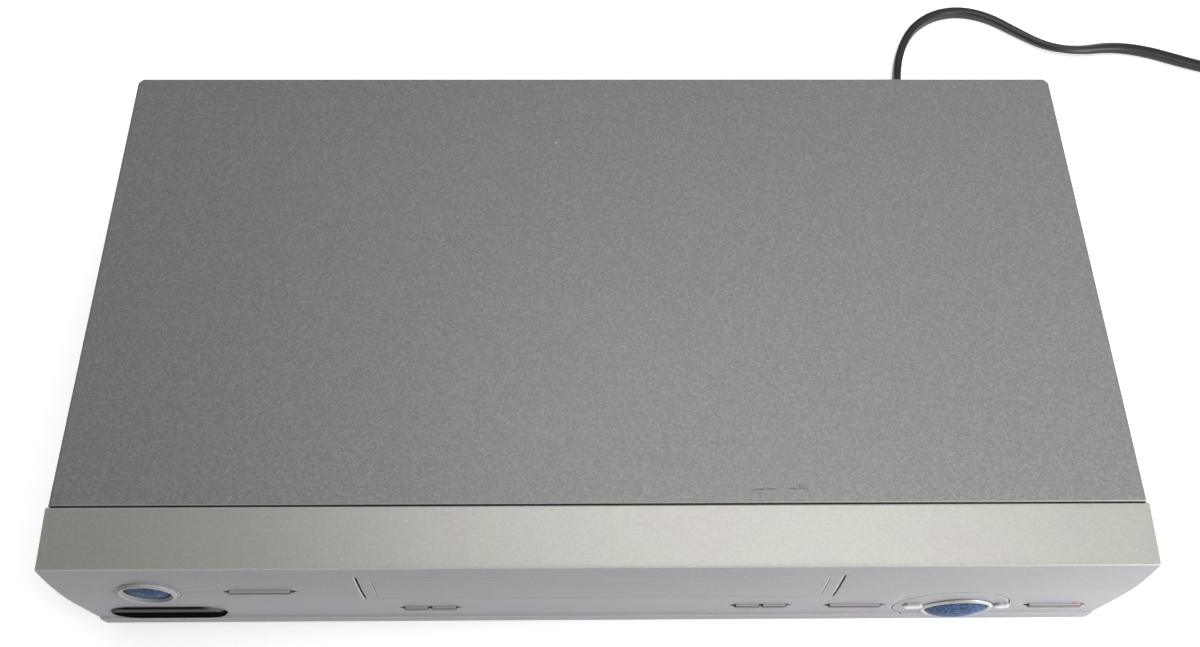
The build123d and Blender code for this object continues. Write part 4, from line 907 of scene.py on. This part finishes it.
@dataclass
class Screws:
    """Cross-recessed pan-head screws of the cover's hem and the deck."""

    head: Profile = ((3.4, 0.0), (3.4, 0.7), (3.1, 1.3), (2.6, 1.65), (2.0, 1.8))
    shank: Profile = ((3.4, 0.0), (1.3, 0.0), (1.3, -5.4), (0.9, -6.0), (0.0, -6.0))
    hem_xs: tuple[float, ...] = (-150 * MM, 0.0, 150 * MM)
    hem_y: float = 116 * MM
    hem_z: float = 89 * MM
    deck_x: float = 95 * MM
    deck_ys: tuple[float, ...] = (-78 * MM, 98 * MM)
    deck_z: float = 28 * MM

    def build(self) -> bpy.types.Object:
        """Build every screw.

        Returns:
            The one piece that they make.
        """
        seats = [((x, self.hem_y, self.hem_z), REARWARD) for x in self.hem_xs]
        for side in (-1, 1):
            seats += [((side * self.deck_x, y, self.deck_z), UPWARD) for y in self.deck_ys]
        flat_r, flat_z = self.head[-1]
        form = Form()
        for place, axis in seats:
            form.turn(self.head, place, axis)
            form.turn(self.shank, place, axis)
            form.cross(flat_r * MM, flat_z * MM, place, axis)
        return form.piece("cross_screws", Finish.ZINC, "zinc_steel", "screws")


@dataclass
class AntennaSockets:
    """Threads and white insulators of the two screw-on antenna sockets."""

    x: float = -186 * MM
    zs: tuple[float, ...] = (34 * MM, 62 * MM)
    thread_y: float = 117.4 * MM
    floor_y: float = 117.97 * MM
    barrel_r: float = 4.7 * MM
    proud: float = 0.24 * MM
    pitch: float = 0.794 * MM
    turns: int = 7
    insulator: Profile = (
        (0.0, 0.0), (3.36, 0.0), (3.36, 2.4), (1.6, 3.0), (0.8, 3.0),
        (0.7, 2.8), (0.7, 0.4), (0.0, 0.4),
    )

    def build(self) -> list[bpy.types.Object]:
        """Build both sockets' details.

        Returns:
            The thread ridges and the insulators.
        """
        ridges, inserts = Form(), Form()
        for z in self.zs:
            ridges.thread(self.barrel_r, self.proud, self.pitch, self.turns, (self.x, self.thread_y, z))
            inserts.turn(self.insulator, (self.x, self.floor_y, z))
        return [
            ridges.piece("antenna_threads", Finish.TIN, "tinned_steel"),
            inserts.piece("antenna_insulators", Finish.WHITE, "white_plastic"),
        ]


@dataclass
class PhonoSockets:
    """Rolled nickel shells with yellow, white and red inserts, a column of two to each colour."""

    face_y: float = 116 * MM
    zs: tuple[float, ...] = (40 * MM, 60 * MM)
    columns: tuple[tuple[float, str, Finish], ...] = (
        (-152 * MM, "video_inserts", Finish.YELLOW),
        (-134 * MM, "left_inserts", Finish.WHITE),
        (-116 * MM, "right_inserts", Finish.RED),
    )
    shell: Profile = (
        (3.5, 0.2), (4.15, 0.2), (4.15, 5.7), (4.08, 6.1), (3.92, 6.35),
        (3.75, 6.35), (3.6, 6.1), (3.55, 5.7), (3.5, 0.2),
    )
    insert: Profile = (
        (0.0, 0.3), (5.7, 0.0), (5.7, 0.5), (5.4, 0.8), (4.2, 0.8),
        (3.4, 0.8), (3.4, 4.7), (3.1, 5.0), (2.0, 5.0), (1.75, 4.7),
        (1.75, 0.5), (0.0, 0.5),
    )

    def build(self) -> list[bpy.types.Object]:
        """Build the six sockets.

        Returns:
            The inserts, a piece to each colour, and the shells.
        """
        shells = Form()
        made = []
        for x, name, finish in self.columns:
            inserts = Form()
            for z in self.zs:
                shells.turn(self.shell, (x, self.face_y, z))
                inserts.turn(self.insert, (x, self.face_y, z))
            made.append(inserts.piece(name, finish, "white_plastic"))
        made.append(shells.piece("phono_shells", Finish.NICKEL, "nickel", "phono_barrels"))
        return made


@dataclass
class Feet:
    """Turned rubber feet with two grooves in the underside and a peg into the pan."""

    xs: tuple[float, ...] = (-180 * MM, 180 * MM)
    ys: tuple[float, ...] = (-72 * MM, 90 * MM)
    steps: int = 48
    profile: Profile = (
        (0.0, 9.8), (2.7, 9.8), (2.7, 8.0), (10.8, 8.0), (10.06, 0.6),
        (9.6, 0.14), (9.0, 0.0), (7.7, 0.0), (7.4, 0.9), (6.0, 0.9),
        (5.7, 0.0), (3.3, 0.0), (3.0, 1.8), (0.0, 1.8),
    )

    def build(self) -> bpy.types.Object:
        """Build the four feet.

        Returns:
            The one piece that they make.
        """
        form = Form()
        for y in self.ys:
            for x in self.xs:
                form.turn(self.profile, (x, y, 0.0), UPWARD, self.steps)
        return form.piece("grooved_feet", Finish.RUBBER, "black_rubber", "rubber_feet")


@dataclass
class ReliefBoot:
    """Moulded flange and ribbed boot that the cord leaves through, sized in millimetres."""

    place: Point = (168 * MM, 117.2 * MM, 20 * MM)
    length: float = 21.3
    root_r: float = 5.2
    tip_r: float = 3.8
    tip_bevel: float = 0.3
    ribs: int = 7
    rib: Profile = ((0.3, 0.0), (0.4, 0.75), (0.8, 0.75), (0.9, 0.0))
    steps: int = 40
    sunk: float = 1.0
    collar: float = 0.6
    panel_plug: Sections = ((-6.2, 13.2, 10.2), (-2.2, 13.6, 10.6))
    flange: Sections = ((-2.2, 17.0, 14.0), (-0.6, 17.0, 14.0), (-0.2, 16.6, 13.6), (0.0, 15.8, 12.8))

    def build(self) -> bpy.types.Object:
        """Build the flange with its plug in the panel, and the ribbed boot.

        Returns:
            The one piece that they make.
        """
        pitch = self.length / (self.ribs + 0.5)
        profile = [(0.0, -self.sunk), (self.root_r, -self.sunk), (self.root_r, self.collar)]
        for rib in range(self.ribs):
            for share, depth in self.rib:
                up = pitch * (rib + share)
                radius = self.root_r + (self.tip_r - self.root_r) * up / self.length
                profile.append((radius - depth, up))
        profile.append((self.tip_r, self.length - self.tip_bevel))
        profile.append((self.tip_r - self.tip_bevel, self.length))
        profile.append((0.0, self.length))
        form = Form()
        form.turn(tuple(profile), self.place, REARWARD, self.steps)
        form.loft(self.panel_plug, self.place)
        form.loft(self.flange, self.place)
        return form.piece("ribbed_relief", Finish.JACKET, "dark_plastic", "cord_strain_relief")


@dataclass
class PlugBody:
    """Moulded plug body with grip ridges down both sides and a bevelled face, sized in millimetres."""

    width: float = 26.0
    depth: float = 17.8
    neck_width: float = 10.0
    neck_depth: float = 8.0
    neck_bevel: float = 1.0
    collar: float = 0.8
    shoulder: float = 16.0
    shoulder_steps: int = 8
    length: float = 34.0
    ridges: int = 5
    pitch: float = 2.4
    ridge: Profile = ((0.0, 0.0), (0.4, 1.0), (1.2, 1.0), (1.6, 0.0))
    face: Profile = ((1.6, 0.0), (0.5, 1.0), (0.0, 2.4))

    def build(self) -> bpy.types.Object:
        """Build the body where the CAD plug is.

        Returns:
            The body.
        """
        low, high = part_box("mains_plug")
        place = ((low[0] + high[0]) / 2, high[1], (low[2] + high[2]) / 2)
        sections = [
            (0.0, self.neck_width - self.neck_bevel, self.neck_depth - self.neck_bevel),
            (self.collar, self.neck_width, self.neck_depth),
        ]
        for step in range(1, self.shoulder_steps + 1):
            along = step / self.shoulder_steps
            ease = along * along * (3 - 2 * along)
            wide = self.neck_width + (self.width - self.neck_width) * ease
            deep = self.neck_depth + (self.depth - self.neck_depth) * ease
            sections.append((self.collar + (self.shoulder - self.collar) * along, wide, deep))
        for ridge in range(self.ridges):
            foot = self.shoulder + self.collar + self.pitch * ridge
            for along, cut in self.ridge:
                sections.append((foot + along, self.width - cut, self.depth))
        for short, cut in self.face:
            sections.append((self.length - short, self.width - cut, self.depth - cut))
        form = Form()
        form.loft(tuple(sections), place, FORWARD)
        return form.piece("moulded_plug", Finish.JACKET, "dark_plastic", "mains_plug")


@dataclass
class RecordDot:
    """Small red dot printed over the right end of the record bar, itself sized in millimetres."""

    x: float = 201 * MM
    z: float = 38.7 * MM
    radius: float = 1.0
    thick: float = 0.05
    sunk: float = 0.2
    steps: int = 24

    def build(self) -> bpy.types.Object:
        """Print the dot where a ray from the front meets the fascia.

        Returns:
            The dot.
        """
        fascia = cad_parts["front_fascia"]
        found, place, normal, _ = fascia.ray_cast((self.x, -1.0, self.z), REARWARD)
        assert found, "the record dot misses the fascia"
        form = Form()
        low, high = -self.sunk, self.thick
        profile = ((0.0, low), (self.radius, low), (self.radius, high), (0.0, high))
        form.turn(profile, tuple(place), tuple(normal), self.steps)
        return form.piece("record_dot", Finish.RED_PRINT, "silver_plastic")


@dataclass
class MainsCord:
    """Flat black mains cord: free stretch across the table, neat coil and plug."""

    width: float = 5.8 * MM
    thickness: float = 4.2 * MM
    length: float = 1.78
    lie: float = 3.0 * MM
    coil_x: float = 424 * MM
    coil_y: float = 140 * MM
    coil_r: float = 54 * MM
    pitch: float = 6 * MM
    layer: float = 5.9 * MM
    turns: int = 2
    steps: int = 8
    tail_r: float = 30 * MM
    tail_end: float = 5.4 * MM
    swell: float = 1.058

    def lead_route(self) -> list[tuple[Point, float]]:
        """Place the free stretch's points.

        Returns:
            Each point with the cord's twist there, in degrees.
        """
        points = (
            (168.0, 138.5, 20.0, 0),
            (168.0, 149.0, 20.0, 0),
            (168.7, 161.0, 16.6, 0),
            (169.9, 173.5, 10.6, 0),
            (171.6, 186.5, 5.0, 0),
            (173.8, 199.0, 3.0, 0),
            (176.6, 210.0, 3.0, 0),
            (181.2, 221.0, 3.0, 0),
            (188.2, 231.5, 3.0, 0),
            (200.6, 240.5, 3.0, 0),
            (216.4, 243.4, 3.0, 5),
            (232.4, 238.6, 3.0, 15),
            (247.0, 227.4, 3.0, 25),
            (262.4, 216.6, 3.0, 35),
            (280.6, 213.4, 3.0, 50),
            (300.4, 216.4, 3.0, 70),
            (319.6, 213.2, 3.0, 85),
            (338.8, 205.4, 3.0, 90),
            (361.6, 197.6, 3.0, 70),
            (390.0, 194.0, 3.0, 35),
            (418.6, 194.0, 3.0, 0),
        )
        return [((x * MM, y * MM, z * MM), float(twist)) for x, y, z, twist in points]

    def coil_route(self) -> list[tuple[Point, float]]:
        """Wind the coil: in, up a layer and out again to the plug, so many steps to a half turn.

        Returns:
            Each point with the cord's twist there, nought all along.
        """
        halves = 2 * self.turns
        radii = [self.coil_r - self.pitch * n / 2 for n in range(halves + 1)]
        radii += radii[-2::-1]
        y, z, heading = self.coil_y + self.coil_r, self.lie, -1
        angles = [(step + 0.5) * math.pi / self.steps for step in range(self.steps)]
        outside = math.cos(math.pi / (2 * self.steps))
        points = []
        for turn, radius in enumerate(radii):
            rise = self.layer if turn == halves else 0.0
            side = 1 if turn % 2 == 0 else -1
            reach = radius / outside
            for step, angle in enumerate(angles):
                x = self.coil_x + side * reach * math.sin(angle)
                across = y + heading * (radius - reach * math.cos(angle))
                points.append(((x, across, z + rise * (step + 0.5) / self.steps), 0.0))
            y += heading * 2 * radius
            z += rise
            heading = -heading
        reach = self.tail_r / outside
        for angle in angles[: self.steps // 2]:
            x = self.coil_x - reach * math.sin(angle)
            points.append(((x, y - self.tail_r + reach * math.cos(angle), z), 0.0))
        points.append(((self.coil_x - self.tail_r, y - self.tail_r - self.tail_end, z), 0.0))
        return points

    def section(self) -> bpy.types.Object:
        """Draw the flat cord's rounded section.

        Returns:
            A closed curve, whose points stand outside the section by the swell.
        """
        across, up = self.swell * self.thickness / 2, self.swell * self.width / 2
        curve = bpy.data.curves.new("cord_section", "CURVE")
        curve.dimensions = "2D"
        outline = curve.splines.new("NURBS")
        corners = ((1, 0), (1, 1), (0, 1), (-1, 1), (-1, 0), (-1, -1), (0, -1), (1, -1))
        outline.points.add(len(corners) - 1)
        for point, (side, level) in zip(outline.points, corners):
            point.co = (side * across, level * up, 0, 1)
        outline.order_u = 3
        outline.use_cyclic_u = True
        outline.resolution_u = 2
        return put("cord_shape", curve)

    def build(self, plug: bpy.types.Object, relief: bpy.types.Object) -> bpy.types.Object:
        """Build the cord as a mesh tube along its spline.

        Args:
            plug: Not used.
            relief: Not used.

        Returns:
            The finished tube.
        """
        route = self.lead_route() + self.coil_route()
        line = bpy.data.curves.new("cord_line", "CURVE")
        line.dimensions = "3D"
        line.twist_mode = "Z_UP"
        spline = line.splines.new("NURBS")
        spline.points.add(len(route) - 1)
        for point, (place, twist) in zip(spline.points, route):
            point.co = (*place, 1.0)
            point.tilt = math.radians(twist)
        spline.order_u = 3
        spline.use_endpoint_u = True
        spline.resolution_u = 5
        carrier = put("cord_carrier", line)
        bare = bpy.data.meshes.new_from_object(carrier)
        shape = self.section()
        line.bevel_mode = "OBJECT"
        line.bevel_object = shape
        line.use_fill_caps = True
        bpy.context.view_layer.update()
        graph = bpy.context.evaluated_depsgraph_get()
        tube = bpy.data.meshes.new_from_object(carrier.evaluated_get(graph), depsgraph=graph)
        bpy.data.objects.remove(carrier)
        bpy.data.objects.remove(shape)
        tube.name = "mains_cord"
        cord = put("mains_cord", tube)
        for face in tube.polygons:
            face.use_smooth = True
        tube.materials.clear()
        tube.materials.append(Finish.JACKET.material())
        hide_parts("mains_lead", "mains_coil")
        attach(cord, HOUSING)
        return cord


@dataclass(frozen=True)
class Lamp:
    """A soft rectangular lamp: where it hangs, what it faces, its size, and its power in watts."""

    name: str
    place: Point
    aim: Point
    size: tuple[float, float]
    power: float

    def hang(self) -> None:
        """Hang the lamp facing its aim."""
        data = bpy.data.lights.new(self.name, "AREA")
        data.shape = "RECTANGLE"
        data.size, data.size_y = self.size
        data.energy = self.power
        lamp = put(self.name, data)
        lamp.location = self.place
        lamp.rotation_euler = (Vector(self.aim) - Vector(self.place)).to_track_quat("-Z", "Y").to_euler()


@dataclass
class Studio:
    """Pale floor, soft lamps, plain surroundings and the camera."""

    floor_size: float = 8.0
    floor_grey: float = 0.86
    floor_glow: float = 0.5
    surroundings: float = 0.31
    lamps: tuple[Lamp, ...] = (
        Lamp("ceiling_panel", (0.95, 0.55, 1.5), (0.75, 0.45, 0.0), (2.3, 2.0), 9.6),
        Lamp("lamp_above", (0.2, 0.1, 1.4), (0.1, -0.05, 0.0), (1.0, 0.7), 7.0),
        Lamp("right_window", (0.6, -0.4, 0.3), (0.1, -0.12, 0.05), (0.3, 0.3), 4.2),
    )
    eye: Point = (-8.99 * MM, -271.36 * MM, 556.11 * MM)
    pitch: float = 1.06579
    yaw: float = 0.02589
    roll: float = 0.01996
    focal_px: float = 1250.0
    image_width: float = 1200.0
    centre_px: float = 592.788
    film: float = 36.0

    def camera(self) -> None:
        """Place the camera at the fitted viewpoint."""
        level_share = math.cos(self.pitch)
        ahead = Vector(
            (math.sin(self.yaw) * level_share, math.cos(self.yaw) * level_share, -math.sin(self.pitch))
        )
        level = Vector((math.cos(self.yaw), -math.sin(self.yaw), 0.0))
        upright = level.cross(ahead)
        right = math.cos(self.roll) * level + math.sin(self.roll) * upright
        up = math.cos(self.roll) * upright - math.sin(self.roll) * level
        lens = bpy.data.cameras.new("camera")
        lens.sensor_width = self.film
        lens.lens = self.focal_px / self.image_width * self.film
        lens.shift_x = (self.image_width / 2 - self.centre_px) / self.image_width
        lens.clip_start = 0.01
        camera = put("camera", lens)
        turn = Matrix((right, up, -ahead)).transposed().to_4x4()
        camera.matrix_world = Matrix.Translation(self.eye) @ turn
        bpy.context.scene.camera = camera

    def floor(self) -> None:
        """Lay the pale floor, whose own colour lifts to white where the eye sees it."""
        mesh = bpy.data.meshes.new("floor")
        form = bmesh.new()
        bmesh.ops.create_grid(form, x_segments=1, y_segments=1, size=self.floor_size / 2)
        form.to_mesh(mesh)
        form.free()
        floor = put("floor", mesh)
        paper = Shader("floor_paper")
        paper.set(Base_Color=(self.floor_grey, self.floor_grey, self.floor_grey, 1), Roughness=0.9)
        glow = paper.add("ShaderNodeEmission")
        glow.inputs["Strength"].default_value = self.floor_glow
        total = paper.add("ShaderNodeAddShader")
        choose = paper.add("ShaderNodeMixShader")
        path = paper.add("ShaderNodeLightPath")
        seen = paper.add("ShaderNodeMath", operation="MAXIMUM")
        paper.link(path.outputs["Is Camera Ray"], seen.inputs[0])
        paper.link(path.outputs["Is Glossy Ray"], seen.inputs[1])
        paper.link(paper.surface.outputs[0], total.inputs[0])
        paper.link(glow.outputs[0], total.inputs[1])
        paper.link(seen.outputs[0], choose.inputs[0])
        paper.link(paper.surface.outputs[0], choose.inputs[1])
        paper.link(total.outputs[0], choose.inputs[2])
        paper.link(choose.outputs[0], paper.tree.nodes["Material Output"].inputs[0])
        mesh.materials.append(paper.material)

    def light(self) -> None:
        """Light the object softly, brighter from the right."""
        world = bpy.data.worlds.new("surroundings")
        bpy.context.scene.world = world
        world.use_nodes = True
        back = world.node_tree.nodes["Background"]
        back.inputs["Color"].default_value = (1, 1, 1, 1)
        back.inputs["Strength"].default_value = self.surroundings
        for lamp in self.lamps:
            lamp.hang()

    def build(self) -> None:
        """Set the view up."""
        self.camera()
        self.floor()
        self.light()
        bpy.context.scene.view_settings.view_transform = "Standard"


def main() -> None:
    """Build the dressed recorder and report each piece."""
    logging.basicConfig(level=logging.INFO, format="%(message)s")
    Studio().build()
    dress_nodes()
    dress_bars()
    pieces = [Screws().build(), *AntennaSockets().build(), *PhonoSockets().build(), Feet().build()]
    pieces.append(RecordDot().build())
    plug, relief = PlugBody().build(), ReliefBoot().build()
    pieces += [plug, relief, MainsCord().build(plug, relief)]
    for piece in pieces:
        log.info("piece %s of %d faces", piece.name, len(piece.data.polygons))


if __name__ == "__main__":
    main()
